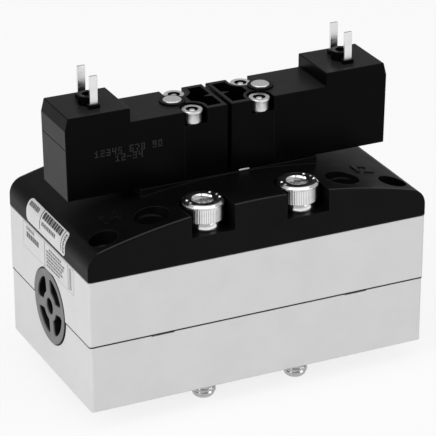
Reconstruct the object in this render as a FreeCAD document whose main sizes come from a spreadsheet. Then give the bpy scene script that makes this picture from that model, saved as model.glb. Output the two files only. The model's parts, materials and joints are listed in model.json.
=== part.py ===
import FreeCAD, Part
import math
import os
import re
import Sketcher

# Directional control valve: two solenoid pilots on an arched cover, over a housing in two
# halves that holds a ported sleeve, its spool and two pistons. Millimetres, +Z up, X along the
# spool. The origin is the centre of the underside, the face that seats on a base plate.

SIZES = {
    # Housing, in two halves that meet at the height of the spool's axis
    "body_length": 114.3,
    "body_width": 63.5,
    "body_height": 43.3,
    "lower_inset": 0.3,
    "housing_round": 0.9,
    "joint_gap": 0.5,
    "joint_inset": 0.8,
    "gasket_inset": 0.35,
    "pry_slot_place": 33.0,
    "pry_slot_length": 7.6,
    "pry_slot_height": 0.3,
    "pry_slot_depth": 2.2,
    # Sleeve and galleries
    "spool_height": 21.9,
    "sleeve_end_gap": 0.5,
    "sleeve_end_length": 7.9,
    "sleeve_clearance": 0.05,
    "sleeve_bore_radius": 5.55,
    "sleeve_groove_depth": 1.35,
    "sleeve_groove_width": 7.0,
    "sleeve_relief_depth": 1.25,
    "sleeve_hole_radius": 2.2,
    "sleeve_seal_width": 2.2,
    "sleeve_seal_depth": 1.4,
    "sleeve_seal_end": 1.0,
    "gallery_width": 8.0,
    "gallery_depth": 3.5,
    "seal_ease": 0.02,
    # Spool
    "spool_clearance": 0.05,
    "spool_stroke": 6.0,
    "neck_radius": 3.2,
    "land_width": 3.4,
    "land_seal_width": 1.6,
    "land_seal_depth": 1.1,
    # Pistons
    "piston_width": 4.0,
    "piston_stop_height": 0.5,
    "piston_stop_radius": 4.0,
    "piston_clearance": 0.05,
    "piston_seal_width": 1.8,
    "piston_seal_depth": 1.6,
    "piston_play": 0.1,
    # End plugs
    "plug_radius": 12.1,
    "plug_clearance": 0.05,
    "plug_cup_wall": 2.1,
    "plug_cup_depth": 10.0,
    "plug_web_inset": 6.75,
    "plug_web": 2.5,
    "plug_sunk": 0.05,
    "plug_collar_proud": 1.05,
    "plug_collar_inset": 5.25,
    "plug_collar_width": 1.5,
    "plug_seal_inset": 2.0,
    "plug_seal_width": 2.2,
    "plug_seal_depth": 1.3,
    "plug_ring_wall": 2.5,
    "plug_hub_radius": 4.7,
    "plug_spoke_width": 3.0,
    "plug_hub_hole_radius": 2.7,
    "plug_pocket_round": 1.1,
    "plug_turn": 10.0,
    "bore_mouth_gap": 0.4,
    "bore_mouth_depth": 2.0,
    "air_inset": 1.0,
    "air_radius": 1.0,
    "air_relief_width": 3.0,
    "air_relief_depth": 0.75,
    # Interface on the underside
    "port_width": 9.0,
    "port_length": 12.0,
    "port_edge": 1.6,
    "port_depth": 16.0,
    "pilot_port_radius": 2.0,
    "face_gasket_end": 4.65,
    "face_gasket_side": 13.15,
    "face_gasket_thickness": 1.2,
    "face_gasket_margin": 0.4,
    "face_gasket_clearance": 0.15,
    # Mounting screws
    "mount_screw_across": 32.0,
    "mount_screw_inset": 7.75,
    "mount_thread_radius": 4.0,
    "mount_shank_radius": 3.9,
    "mount_hole_clearance": 0.5,
    "mount_seat_height": 7.8,
    "mount_reach": 6.8,
    "mount_head_radius": 6.5,
    "mount_head_height": 8.0,
    "mount_head_chamfer": 0.7,
    "mount_collar_radius": 5.2,
    "mount_collar_height": 1.6,
    "mount_tip_chamfer": 0.8,
    "mount_socket_flats": 6.0,
    "mount_socket_depth": 4.2,
    # Cover
    "cover_gasket": 0.4,
    "cover_height": 16.1,
    "cover_arc_radius": 200.0,
    "cover_corner_radius": 5.5,
    "cover_edge_round": 0.5,
    "recess_radius": 7.25,
    "pad_half_length": 30.0,
    "pad_half_width": 9.9,
    "pad_rise": 0.3,
    "channel_width": 3.0,
    "channel_depth": 1.6,
    "passage_radius": 0.8,
    "air_hole_radius": 1.5,
    # Cover screws and recess plugs
    "cover_screw_end": 8.15,
    "cover_screw_rear_end": 13.95,
    "cover_screw_side": 7.25,
    "cover_screw_radius": 2.5,
    "cover_screw_clearance": 0.25,
    "cover_screw_seat_height": 2.5,
    "cover_screw_tip": 8.0,
    "cover_screw_head_radius": 4.1,
    "cover_screw_head_height": 4.0,
    "cover_screw_pocket_radius": 4.5,
    "cover_screw_socket_flats": 4.0,
    "cover_screw_socket_depth": 2.6,
    "cap_mount_gap": 16.3,
    "cap_side": 9.35,
    "cap_radius": 5.5,
    "cap_clearance": 0.05,
    "cap_floor_height": 8.9,
    "cap_height": 3.0,
    "cap_dish_radius": 4.3,
    "cap_dish_depth": 0.5,
    # Pilots, given for the one towards +X
    "pilot_gap": 1.2,
    "pilot_width": 19.2,
    "pilot_seal": 0.4,
    "pilot_height": 22.2,
    "pilot_seam": 15.2,
    "pilot_end": 54.4,
    "pilot_end_draft": 0.4,
    "pilot_axis_height": 10.9,
    "pilot_round": 0.35,
    "head_start": 33.1,
    "head_height": 26.7,
    "head_slope_height": 4.0,
    "head_slope_depth": 1.0,
    "parting_height": 16.5,
    "parting_width": 0.25,
    "parting_depth": 0.35,
    # Moulded pocket in the top of a pilot's valve body
    "pocket_wall": 1.3,
    "pocket_reach": 9.6,
    "pocket_half_width": 7.7,
    "pocket_depth": 4.9,
    "pocket_rim": 1.0,
    "pocket_rib_reach": 2.4,
    "pocket_rib_half_width": 0.9,
    # Pilot screws
    "pilot_screw_place": 11.4,
    "pilot_screw_row": 6.6,
    "pilot_screw_radius": 1.5,
    "pilot_screw_clearance": 0.1,
    "pilot_screw_reach": 8.9,
    "pilot_screw_neck_radius": 2.85,
    "pilot_screw_head_radius": 3.3,
    "pilot_screw_head_height": 0.7,
    "pilot_screw_sunk": 0.5,
    "pilot_screw_socket_flats": 2.5,
    "pilot_screw_socket_depth": 1.8,
    "notch_radius": 3.9,
    "notch_depth": 4.6,
    # Pilot seal with its tab
    "pilot_seal_end_inset": 0.6,
    "pilot_seal_side_inset": 4.9,
    "pilot_seal_tab_place": 3.2,
    "pilot_seal_tab_length": 3.4,
    "pilot_seal_tab_out": 0.15,
    "supply_place": 7.0,
    "outlet_place": 12.6,
    # Override button, its collar and spring
    "override_place": 15.0,
    "override_radius": 2.9,
    "override_proud": 1.0,
    "override_chamfer": 0.25,
    "override_cap_height": 1.2,
    "override_stem_radius": 1.2,
    "override_tip_height": 5.1,
    "override_clearance": 0.1,
    "collar_radius": 4.0,
    "collar_clearance": 0.05,
    "collar_depth": 5.5,
    "collar_shelf_depth": 3.5,
    "collar_proud": 0.6,
    "override_spring_radius": 2.0,
    "override_spring_turns": 3.0,
    # Solenoid
    "yoke_start": 20.0,
    "yoke_end": 48.0,
    "yoke_radius": 8.8,
    "yoke_wall": 0.8,
    "yoke_plate": 1.2,
    "winding_clearance": 0.05,
    "tube_start": 11.0,
    "tube_end": 50.0,
    "tube_radius": 4.4,
    "tube_wall": 0.4,
    "tube_clearance": 0.05,
    "core_place": 34.15,
    "core_clearance": 0.02,
    "armature_start": 13.2,
    "armature_end": 33.5,
    "armature_clearance": 0.1,
    "armature_groove_radius": 3.2,
    "armature_groove_width": 3.2,
    "armature_seal_radius": 2.2,
    "armature_seal_depth": 1.4,
    "armature_bore_radius": 2.3,
    "armature_bore_depth": 7.0,
    "armature_spring_radius": 1.75,
    "armature_spring_turns": 6.0,
    "spring_wire_radius": 0.25,
    "nozzle_start": 8.2,
    "nozzle_shoulder": 10.8,
    "nozzle_tip": 13.1,
    "nozzle_radius": 3.0,
    "nozzle_tip_radius": 1.2,
    "nozzle_hole_radius": 0.4,
    # Connector blades, boss and threaded insert
    "connector_place": 43.0,
    "blade_pitch": 9.4,
    "blade_width": 2.5,
    "blade_thickness": 0.8,
    "blade_root": 4.0,
    "blade_height": 10.4,
    "plinth_margin": 0.5,
    "plinth_height": 1.4,
    "boss_radius": 3.0,
    "boss_height": 3.0,
    "boss_hole_radius": 1.65,
    "insert_radius": 2.3,
    "insert_root": 5.0,
    "insert_proud": 1.6,
    "insert_thread_radius": 1.25,
}

doc = FreeCAD.newDocument("control_valve")
sheet = doc.addObject("Spreadsheet::Sheet", "sizes")
for row, (alias, size) in enumerate(SIZES.items(), start=1):
    sheet.set(f"A{row}", alias)
    sheet.set(f"B{row}", str(size))
    sheet.setAlias(f"B{row}", alias)
doc.recompute()

CORNERS = ((1, 1), (-1, 1), (-1, -1), (1, -1))


def at_corners(front, rear, row):
    """Four places, from how far the front and the rear pair stand from the middle, and the row."""
    return [(f"{right} * {rear if back > 0 else front}", f"{back} * {row}") for right, back in CORNERS]


# Places that several pieces share, worked out from the sizes
LENGTH_END = "body_length / 2"
SIDE = "body_width / 2"
SPOOL_AXIS = "spool_height"
COVER_BASE = "(body_height + cover_gasket)"
COVER_CREST = f"({COVER_BASE} + cover_height)"
PAD_TOP = f"({COVER_CREST} + pad_rise)"
MOUNT_SEAT = f"({COVER_BASE} + mount_seat_height)"
COVER_SCREW_SEAT = f"({COVER_BASE} + cover_screw_seat_height)"
CAP_FLOOR = f"({COVER_BASE} + cap_floor_height)"
PLUG_FACE = f"({LENGTH_END} - plug_sunk)"
PLUG_WEB_PLACE = f"({LENGTH_END} - plug_web_inset)"
PLUG_SHOULDER = f"({PLUG_WEB_PLACE} - plug_cup_depth)"
PLUG_COLLAR = f"({LENGTH_END} - plug_collar_inset)"
PLUG_SEAL_MIDDLE = f"({PLUG_SHOULDER} + plug_seal_inset + plug_seal_width / 2)"
AIR_PLACE = f"({PLUG_WEB_PLACE} - air_inset)"
SLEEVE_END = f"({PLUG_SHOULDER} - sleeve_end_gap)"
SLEEVE_SEAT = "(plug_radius - plug_cup_wall)"
SLEEVE_RADIUS = f"({SLEEVE_SEAT} - sleeve_clearance)"
PLUG_COLLAR_RADIUS = "(plug_radius + plug_collar_proud)"
PORT_PITCH = f"(({SLEEVE_END} - sleeve_end_length) / 2)"
SPOOL_RADIUS = "(sleeve_bore_radius - spool_clearance)"
PISTON_RADIUS = f"({SLEEVE_SEAT} - piston_clearance)"
PISTON_FACE = f"({PLUG_WEB_PLACE} - spool_stroke / 2 - piston_play)"
SPOOL_REST = "(-spool_stroke / 2)"
INNER_LAND = f"({PORT_PITCH} / 2 - spool_stroke / 2)"
OUTER_LAND = f"({PORT_PITCH} * 3 / 2 + spool_stroke / 2)"
FACE_GASKET_END = f"({LENGTH_END} - face_gasket_end)"
FACE_GASKET_SIDE = f"({SIDE} - face_gasket_side)"
PORT_ROW = f"({FACE_GASKET_SIDE} - port_edge - port_length / 2)"
MOUNT_HALF = "mount_screw_across / 2"
MOUNT_PLACES = at_corners(MOUNT_HALF, MOUNT_HALF, f"({SIDE} - mount_screw_inset)")
COVER_SCREW_PLACES = at_corners(f"({LENGTH_END} - cover_screw_end)",
                                f"({LENGTH_END} - cover_screw_rear_end)", f"({SIDE} - cover_screw_side)")
CAP_HALF = f"({MOUNT_HALF} + cap_mount_gap)"
CAP_PLACES = at_corners(CAP_HALF, CAP_HALF, f"({SIDE} - cap_side)")
PILOT_START = "(pilot_gap / 2)"
PILOT_BASE = f"({PAD_TOP} + pilot_seal)"
PILOT_TOP = f"({PILOT_BASE} + pilot_height)"
PILOT_AXIS = f"({PILOT_BASE} + pilot_axis_height)"
HEAD_TOP = f"({PILOT_BASE} + head_height)"
PARTING_PLACE = f"({PILOT_BASE} + parting_height)"
POCKET_FLOOR = f"({PILOT_TOP} - pocket_depth)"
PILOT_SCREW_SEAT = f"({PILOT_TOP} - notch_depth)"
PILOT_SCREW_TOP = f"({PILOT_TOP} - pilot_screw_sunk)"
PILOT_SCREW_TIP = f"({PAD_TOP} - pilot_screw_reach)"
OVERRIDE_TOP = f"({PILOT_TOP} + override_proud)"
OVERRIDE_TIP = f"({PILOT_AXIS} + override_tip_height)"
COLLAR_BASE = f"({PILOT_TOP} - collar_depth)"
COLLAR_SHELF = f"({PILOT_TOP} - collar_shelf_depth)"
COLLAR_TOP = f"({PILOT_TOP} + collar_proud)"
BLADE_FOOT = f"({HEAD_TOP} - blade_root)"
BLADE_TOP = f"({HEAD_TOP} + blade_height)"
INSERT_FOOT = f"({HEAD_TOP} - insert_root)"
INSERT_TOP = f"({HEAD_TOP} + insert_proud)"
TUBE_SEAT = "(tube_radius + tube_clearance)"
TUBE_BORE = "(tube_radius - tube_wall)"
FLATS_TO_CORNER = 1 / math.cos(math.pi / 6)
NEAR = 0.01
SIDES = (("left", -1), ("right", 1))
GALLERIES = (-2, -1, 0, 1, 2)


# Tools of construction

def formula(text):
    """The text with each size read from the sheet."""
    return re.sub(r"[a-z_]+", lambda word: "sizes." * (word[0] in SIZES) + word[0], str(text))


def value(text):
    """What the formula comes to at present."""
    return float(sheet.evalExpression(formula(text)))


def bind(item, **formulas):
    """Ties properties to formulas. base_x, base_y and base_z place the item."""
    for word, text in formulas.items():
        item.setExpression(word.replace("base_", "Placement.Base."), formula(text))
    return item


def block(label, x, y, z):
    """A box between two places on each axis."""
    item = doc.addObject("Part::Box", label)
    for side, axis, (low, high) in (("Length", "x", x), ("Width", "y", y), ("Height", "z", z)):
        bind(item, **{side: f"({high}) - ({low})", "base_" + axis: low})
    return item


def rod(label, radius, axis, span, across):
    """A cylinder along an axis, from one place on it to another."""
    item = doc.addObject("Part::Cylinder", label)
    way = FreeCAD.Vector(axis == "x", axis == "y", axis == "z")
    item.Placement.Rotation = FreeCAD.Rotation(FreeCAD.Vector(0, 0, 1), way)
    bind(item, Radius=radius, Height=f"({span[1]}) - ({span[0]})")
    bind(item, **{"base_" + axis: span[0]})
    for other, text in zip("xyz".replace(axis, ""), across):
        bind(item, **{"base_" + other: text})
    return item


def hexagon(label, flats, x, y, z):
    """A six-sided prism that stands along Z, for a key socket."""
    item = doc.addObject("Part::Prism", label)
    item.Polygon = 6
    bind(item, Circumradius=f"{flats} / 2 * {FLATS_TO_CORNER}", Height=f"({z[1]}) - ({z[0]})")
    return bind(item, base_x=x, base_y=y, base_z=z[0])


def group(label, items):
    """Several solids kept apart, as one piece of the list."""
    item = doc.addObject("Part::Compound", label)
    item.Links = items
    return item


def joined(label, items):
    item = doc.addObject("Part::MultiFuse", label)
    item.Shapes = items
    return item


def less(label, base, *tools):
    """The base with the tools cut out of it."""
    item = doc.addObject("Part::Cut", label)
    item.Base = base
    item.Tool = tools[0] if len(tools) == 1 else joined(label + "_tools", list(tools))
    return item


def ring(label, inner, outer, axis, span, across):
    hole = rod(label + "_hole", inner, axis, span, across)
    return less(label, rod(label + "_disc", outer, axis, span, across), hole)


def sketch_on(body, plane, name):
    """An empty sketch on one of the body's own planes."""
    sketch = body.newObject("Sketcher::SketchObject", name)
    support = [face for face in body.Origin.OriginFeatures if face.Role == plane + "_Plane"][0]
    sketch.AttachmentSupport = [(support, "")]
    sketch.MapMode = "FlatFace"
    return sketch


def hold(sketch, line, end, across, up):
    """Holds one end of a line at a place that two formulas give."""
    for kind, text in (("DistanceX", across), ("DistanceY", up)):
        number = sketch.addConstraint(Sketcher.Constraint(kind, -1, 1, line, end, value(text)))
        sketch.setExpression(f"Constraints[{number}]", formula(text))


def outline(body, plane, corners):
    """A closed sketch of straight lines, with each corner held by two formulas."""
    sketch = sketch_on(body, plane, body.Label + "_outline")
    places = [FreeCAD.Vector(value(across), value(up), 0) for across, up in corners]
    for place, following in zip(places, places[1:] + places[:1]):
        sketch.addGeometry(Part.LineSegment(place, following))
    for line, (across, up) in enumerate(corners):
        following = (line + 1) % len(corners)
        sketch.addConstraint(Sketcher.Constraint("Coincident", line, 2, following, 1))
        hold(sketch, line, 1, across, up)
    return sketch


def turned(label, corners, axis, **places):
    """A body turned from half its section. Corners are given along the axis, then outwards."""
    body = doc.addObject("PartDesign::Body", label)
    if axis == "z":
        corners = [(out, along) for along, out in corners]
    sketch = outline(body, "XZ", corners)
    spin = body.newObject("PartDesign::Revolution", label + "_turn")
    spin.Profile = sketch
    spin.ReferenceAxis = (sketch, ["H_Axis" if axis == "x" else "V_Axis"])
    spin.Angle = 360
    return bind(body, **places)


def pad(body, sketch, length, both_ways=False):
    item = body.newObject("PartDesign::Pad", body.Label + "_pad")
    item.Profile = sketch
    item.Midplane = both_ways
    bind(item, Length=length)
    return item


def round_edges(body, base, radius, chosen):
    """Rounds the edges of the base that the test picks."""
    doc.recompute()
    numbers = [number for number, edge in enumerate(base.Shape.Edges, start=1) if chosen(edge)]
    item = body.newObject("PartDesign::Fillet", body.Label + "_round")
    item.Base = (base, [f"Edge{number}" for number in numbers])
    bind(item, Radius=radius)
    return item


def along_x(edge):
    return abs(edge.tangentAt(edge.FirstParameter).x) > 0.999


def upright(edge):
    return abs(edge.tangentAt(edge.FirstParameter).z) > 0.999


def on_sides(edge, half_width):
    """Whether an edge lies in one of the two faces that look along Y."""
    place = value(half_width) - NEAR
    return all(abs(corner.Point.y) > place for corner in edge.Vertexes)


def softened(label, base, radius, chosen):
    """A finished piece with the edges rounded that the test picks."""
    body = doc.addObject("PartDesign::Body", label)
    body.BaseFeature = base
    doc.recompute()
    round_edges(body, body.Group[0], radius, chosen)
    return body


def plate(label, half_length, half_width, z, radius):
    """A rectangular plate with rounded upright edges, centred on Z."""
    body = doc.addObject("PartDesign::Body", label)
    corners = [(f"{right} * ({half_length})", f"{back} * ({half_width})") for right, back in CORNERS]
    base = pad(body, outline(body, "XY", corners), f"({z[1]}) - ({z[0]})")
    round_edges(body, base, radius, upright)
    return bind(body, base_z=z[0])


def spring(label, radius, turns, length):
    """A round wire wound along Z from the origin, with its ends cut flat by the section."""
    path = doc.addObject("Part::Helix", label + "_path")
    rise = f"(({length}) - 2 * spring_wire_radius)"
    bind(path, Radius=radius, Height=rise, Pitch=f"{rise} / ({turns})")
    wire = doc.addObject("Part::Circle", label + "_section")
    wire.Placement.Rotation = FreeCAD.Rotation(FreeCAD.Vector(1, 0, 0), 90)
    bind(wire, Radius="spring_wire_radius", base_x=radius)
    doc.recompute()
    item = doc.addObject("Part::Sweep", label)
    item.Sections = [wire]
    item.Spine = (path, [f"Edge{number + 1}" for number in range(len(path.Shape.Edges))])
    item.Solid = True
    item.Frenet = True
    return item


def turn_about_z(item, side):
    """Turns a piece of the pilot half round for the left side."""
    item.Placement.Rotation = FreeCAD.Rotation(FreeCAD.Vector(0, 0, 1), 0 if side > 0 else 180)
    return item


# Cuts that run through several pieces

def cuts_for_spool():
    """The sleeve's seat, the galleries round it and the plugs' seats."""
    axis = ("0", SPOOL_AXIS)
    cuts = [rod("sleeve_seat", SLEEVE_SEAT, "x", (f"-{LENGTH_END}", LENGTH_END), axis)]
    for place in GALLERIES:
        middle = f"{place} * {PORT_PITCH}"
        span = (f"{middle} - gallery_width / 2", f"{middle} + gallery_width / 2")
        cuts.append(rod("gallery", f"{SLEEVE_SEAT} + gallery_depth", "x", span, axis))
    for word, side in SIDES:
        seat = plug_seat(word, side)
        cuts.append(seat)
    return joined("spool_cuts", cuts)


def plug_seat(word, side):
    """The stepped hole that holds an end plug, a little wider at its mouth."""
    wall = "(plug_radius + plug_clearance)"
    groove = f"({PLUG_COLLAR_RADIUS} + plug_clearance)"
    mouth = f"({LENGTH_END} + 1)"
    collar_end = f"({PLUG_COLLAR} + plug_collar_width + plug_clearance)"
    corners = [
        (PLUG_SHOULDER, "0"),
        (PLUG_SHOULDER, wall),
        (f"{PLUG_COLLAR} - plug_clearance", wall),
        (f"{PLUG_COLLAR} - plug_clearance", groove),
        (collar_end, groove),
        (collar_end, wall),
        (f"{LENGTH_END} - bore_mouth_depth", wall),
        (f"{LENGTH_END} - bore_mouth_depth", f"{wall} + bore_mouth_gap"),
        (mouth, f"{wall} + bore_mouth_gap"),
        (mouth, "0"),
    ]
    return turn_about_z(turned(word + "_plug_seat", corners, "x", base_z=SPOOL_AXIS), side)


def four_rods(label, radius, places, z):
    """An upright cylinder at each of the places."""
    return group(label + "s", [rod(label, radius, "z", z, place) for place in places])


spool_cuts = cuts_for_spool()
mount_holes = four_rods("mount_hole", "mount_thread_radius + mount_hole_clearance",
                        MOUNT_PLACES, ("-1", f"{COVER_CREST} + 1"))
cover_screw_holes = four_rods("cover_screw_hole", "cover_screw_radius + cover_screw_clearance",
                              COVER_SCREW_PLACES, (SPOOL_AXIS, COVER_CREST))
cover_screw_threads = four_rods("cover_screw_thread", "cover_screw_radius + cover_screw_clearance / 5",
                                COVER_SCREW_PLACES, ("cover_screw_tip - 1", SPOOL_AXIS))
air_holes = group("air_holes", [
    rod("air_hole", "air_hole_radius", "z",
        (f"{SPOOL_AXIS} + {SLEEVE_RADIUS}", f"{COVER_BASE} + 0.1"), (f"{side} * {AIR_PLACE}", "0"))
    for word, side in SIDES])
supply_hole = rod("supply_hole", "air_hole_radius", "z",
                  (f"{SPOOL_AXIS} + {SLEEVE_RADIUS}", f"{COVER_BASE} + 0.1"), ("0", "0"))


# Housing and gaskets

def port_cut(place, margin, top):
    """The slot under one gallery. Odd galleries lie in the front row."""
    row = PORT_ROW if place % 2 else f"-{PORT_ROW}"
    across = f"(port_width / 2 + {margin})"
    along = f"(port_length / 2 + {margin})"
    middle = f"{place} * {PORT_PITCH}"
    slot = block("port_slot", (f"{middle} - {across}", f"{middle} + {across}"),
                 (f"{row} - {along} + {across}", f"{row} + {along} - {across}"), ("-1", top))
    ends = [rod("port_end", across, "z", ("-1", top), (middle, f"{row} + {way} * ({along} - {across})"))
            for way in (-1, 1)]
    return joined("port", [slot] + ends)


def pilot_port_cut(side, margin, top):
    return rod("pilot_port", f"pilot_port_radius + {margin}", "z", ("-1", top),
               (f"{side} * {AIR_PLACE}", "0"))


def pry_slots():
    """Short slots in the long faces at the joint, for a lever that parts the halves."""
    top = f"{SPOOL_AXIS} - joint_gap / 2"
    slots = []
    for right, back in CORNERS:
        middle = f"{right} * pry_slot_place"
        outer = (f"{SIDE} - pry_slot_depth", f"{SIDE} + 1")
        if back < 0:
            outer = (f"-{SIDE} - 1", f"-{SIDE} + pry_slot_depth")
        slots.append(block("pry_slot", (f"{middle} - pry_slot_length / 2", f"{middle} + pry_slot_length / 2"),
                           outer, (f"{top} - pry_slot_height", f"{top} + 1")))
    return group("pry_slots", slots)


def lower_housing():
    """The lower half, which is a little shorter than the upper one at both ends."""
    half = plate("lower_blank", f"{LENGTH_END} - lower_inset", SIDE,
                 ("0", f"{SPOOL_AXIS} - joint_gap / 2"), "housing_round")
    end = f"({FACE_GASKET_END} + face_gasket_clearance)"
    side = f"({FACE_GASKET_SIDE} + face_gasket_clearance)"
    gasket_seat = block("face_gasket_seat", (f"-{end}", end), (f"-{side}", side),
                        ("-1", "face_gasket_thickness"))
    ports = [port_cut(place, "0", "port_depth") for place in GALLERIES]
    pilot_ports = [pilot_port_cut(way, "0", f"{SPOOL_AXIS} - {SLEEVE_RADIUS}") for way in (-1, 1)]
    return less("lower_housing", half, spool_cuts, mount_holes, cover_screw_threads, gasket_seat,
                pry_slots(), *ports, *pilot_ports)


def upper_housing():
    half = plate("upper_blank", LENGTH_END, SIDE,
                 (f"{SPOOL_AXIS} + joint_gap / 2", "body_height"), "housing_round")
    return less("upper_housing", half, spool_cuts, mount_holes, cover_screw_holes, air_holes, supply_hole)


def housing_gasket():
    sheet_part = plate("housing_gasket_blank", f"{LENGTH_END} - joint_inset", f"{SIDE} - joint_inset",
                       (f"{SPOOL_AXIS} - joint_gap / 2", f"{SPOOL_AXIS} + joint_gap / 2"), "housing_round")
    return less("housing_gasket", sheet_part, spool_cuts, mount_holes,
                four_rods("gasket_hole", "cover_screw_radius + cover_screw_clearance",
                          COVER_SCREW_PLACES, ("joint_gap", "body_height")))


def cover_gasket():
    sheet_part = plate("cover_gasket_blank", f"{LENGTH_END} - gasket_inset", f"{SIDE} - gasket_inset",
                       ("body_height", COVER_BASE), "housing_round")
    return less("cover_gasket", sheet_part, mount_holes, cover_screw_holes, air_holes, supply_hole)


def interface_gasket():
    sheet_part = plate("interface_gasket_blank", FACE_GASKET_END, FACE_GASKET_SIDE,
                       ("0", "face_gasket_thickness"), "housing_round")
    top = "face_gasket_thickness + 1"
    ports = [port_cut(place, "face_gasket_margin", top) for place in GALLERIES]
    pilot_ports = [pilot_port_cut(side, "face_gasket_margin", top) for word, side in SIDES]
    return less("interface_gasket", sheet_part, *ports, *pilot_ports)


# Cover

def cover_blank():
    """The cover's arched section, drawn in arcs and padded across the body."""
    body = doc.addObject("PartDesign::Body", "cover_blank")
    sketch = sketch_on(body, "XZ", "cover_section")
    end = value(LENGTH_END)
    base = value(COVER_BASE)
    arc = value("cover_arc_radius")
    corner = value("cover_corner_radius")
    centre = FreeCAD.Vector(0, value(COVER_CREST) - arc, 0)
    turn_x = end - corner
    turn = FreeCAD.Vector(turn_x, centre.y + math.sqrt((arc - corner) ** 2 - turn_x ** 2), 0)
    tilt = math.atan2(turn.y - centre.y, turn.x)
    left_turn = FreeCAD.Vector(-turn.x, turn.y, 0)
    up = FreeCAD.Vector(0, 0, 1)
    sketch.addGeometry(Part.LineSegment(FreeCAD.Vector(-end, base, 0), FreeCAD.Vector(end, base, 0)))
    sketch.addGeometry(Part.LineSegment(FreeCAD.Vector(end, base, 0), FreeCAD.Vector(end, turn.y, 0)))
    sketch.addGeometry(Part.ArcOfCircle(Part.Circle(turn, up, corner), 0, tilt))
    sketch.addGeometry(Part.ArcOfCircle(Part.Circle(centre, up, arc), tilt, math.pi - tilt))
    sketch.addGeometry(Part.ArcOfCircle(Part.Circle(left_turn, up, corner), math.pi - tilt, math.pi))
    sketch.addGeometry(Part.LineSegment(FreeCAD.Vector(-end, turn.y, 0), FreeCAD.Vector(-end, base, 0)))
    sketch.addConstraint(Sketcher.Constraint("Coincident", 0, 2, 1, 1))
    sketch.addConstraint(Sketcher.Constraint("Tangent", 1, 2, 2, 1))
    sketch.addConstraint(Sketcher.Constraint("Tangent", 2, 2, 3, 1))
    sketch.addConstraint(Sketcher.Constraint("Tangent", 3, 2, 4, 1))
    sketch.addConstraint(Sketcher.Constraint("Tangent", 4, 2, 5, 1))
    sketch.addConstraint(Sketcher.Constraint("Coincident", 5, 2, 0, 1))
    sketch.addConstraint(Sketcher.Constraint("Vertical", 1))
    sketch.addConstraint(Sketcher.Constraint("Vertical", 5))
    hold(sketch, 0, 1, f"-{LENGTH_END}", COVER_BASE)
    hold(sketch, 0, 2, LENGTH_END, COVER_BASE)
    hold(sketch, 3, 3, "0", f"{COVER_CREST} - cover_arc_radius")
    for number, text in ((2, "cover_corner_radius"), (4, "cover_corner_radius"), (3, "cover_arc_radius")):
        held = sketch.addConstraint(Sketcher.Constraint("Radius", number, value(text)))
        sketch.setExpression(f"Constraints[{held}]", formula(text))
    base = pad(body, sketch, "body_width", both_ways=True)
    round_edges(body, base, "cover_edge_round",
                lambda edge: on_sides(edge, SIDE) and edge.CenterOfMass.z > value(COVER_BASE) + NEAR)
    return body


def screw_recesses():
    """The four recesses of the mounting heads, open to the long faces and round behind the head."""
    top = f"{COVER_CREST} + 1"
    cuts = []
    for (right, back), (middle, row) in zip(CORNERS, MOUNT_PLACES):
        outer = (row, f"{SIDE} + 1") if back > 0 else (f"-{SIDE} - 1", row)
        cuts.append(block("recess_mouth", (f"{middle} - recess_radius", f"{middle} + recess_radius"),
                          outer, (MOUNT_SEAT, top)))
        cuts.append(rod("recess_end", "recess_radius", "z", (MOUNT_SEAT, top), (middle, row)))
    return joined("screw_recesses", cuts)


def cover_channels():
    """Air ways under the cover, and the small holes that lead up to the pilots."""
    low = f"{COVER_BASE} - 1"
    high = f"{COVER_BASE} + channel_depth"
    width = ("-channel_width / 2", "channel_width / 2")
    cuts = [block("supply_channel", ("-supply_place", "supply_place"), width, (low, high))]
    for word, side in SIDES:
        ends = ("outlet_place", f"{AIR_PLACE} + channel_width / 2")
        if side < 0:
            ends = (f"-{AIR_PLACE} - channel_width / 2", "-outlet_place")
        cuts.append(block(word + "_channel", ends, width, (low, high)))
        for place in ("supply_place", "outlet_place"):
            cuts.append(rod("riser", "passage_radius", "z", (low, f"{PAD_TOP} + 1"),
                            (f"{side} * {place}", "0")))
    return joined("channels", cuts)


def top_cover():
    plateau = block("pilot_pad", ("-pad_half_length", "pad_half_length"),
                    ("-pad_half_width", "pad_half_width"), (f"{COVER_BASE} + channel_depth", PAD_TOP))
    solid = joined("cover_solid", [cover_blank(), plateau])
    pockets = four_rods("cover_screw_pocket", "cover_screw_pocket_radius", COVER_SCREW_PLACES,
                        (COVER_SCREW_SEAT, COVER_CREST))
    caps = four_rods("cap_seat", "cap_radius", CAP_PLACES, (CAP_FLOOR, COVER_CREST))
    threads = pilot_screw_rods("cover_thread", "pilot_screw_radius + pilot_screw_clearance / 2",
                               (f"{PILOT_SCREW_TIP} - 1", f"{PAD_TOP} + 1"), (-1, 1))
    return less("top_cover", solid, screw_recesses(), mount_holes, cover_screw_holes, pockets, caps,
                cover_channels(), threads)


def recess_plugs():
    corners = [
        ("0", "0"),
        ("0", "cap_radius - cap_clearance"),
        ("cap_height", "cap_radius - cap_clearance"),
        ("cap_height", "cap_dish_radius"),
        ("cap_height - cap_dish_depth", "cap_dish_radius - cap_dish_depth"),
        ("cap_height - cap_dish_depth", "0"),
    ]
    return group("recess_plugs", [
        turned("recess_plug", corners, "z", base_x=x, base_y=y, base_z=CAP_FLOOR) for x, y in CAP_PLACES])


# Screws

def socket_screw(label, x, y, z, corners, flats, depth, top):
    """A screw turned from its section, with a key socket in its head."""
    shaft = turned(label + "_blank", corners, "z", base_x=x, base_y=y, base_z=z)
    socket = hexagon(label + "_socket", flats, x, y, (f"{top} - {depth}", f"{top} + 1"))
    return less(label, shaft, socket)


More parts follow.
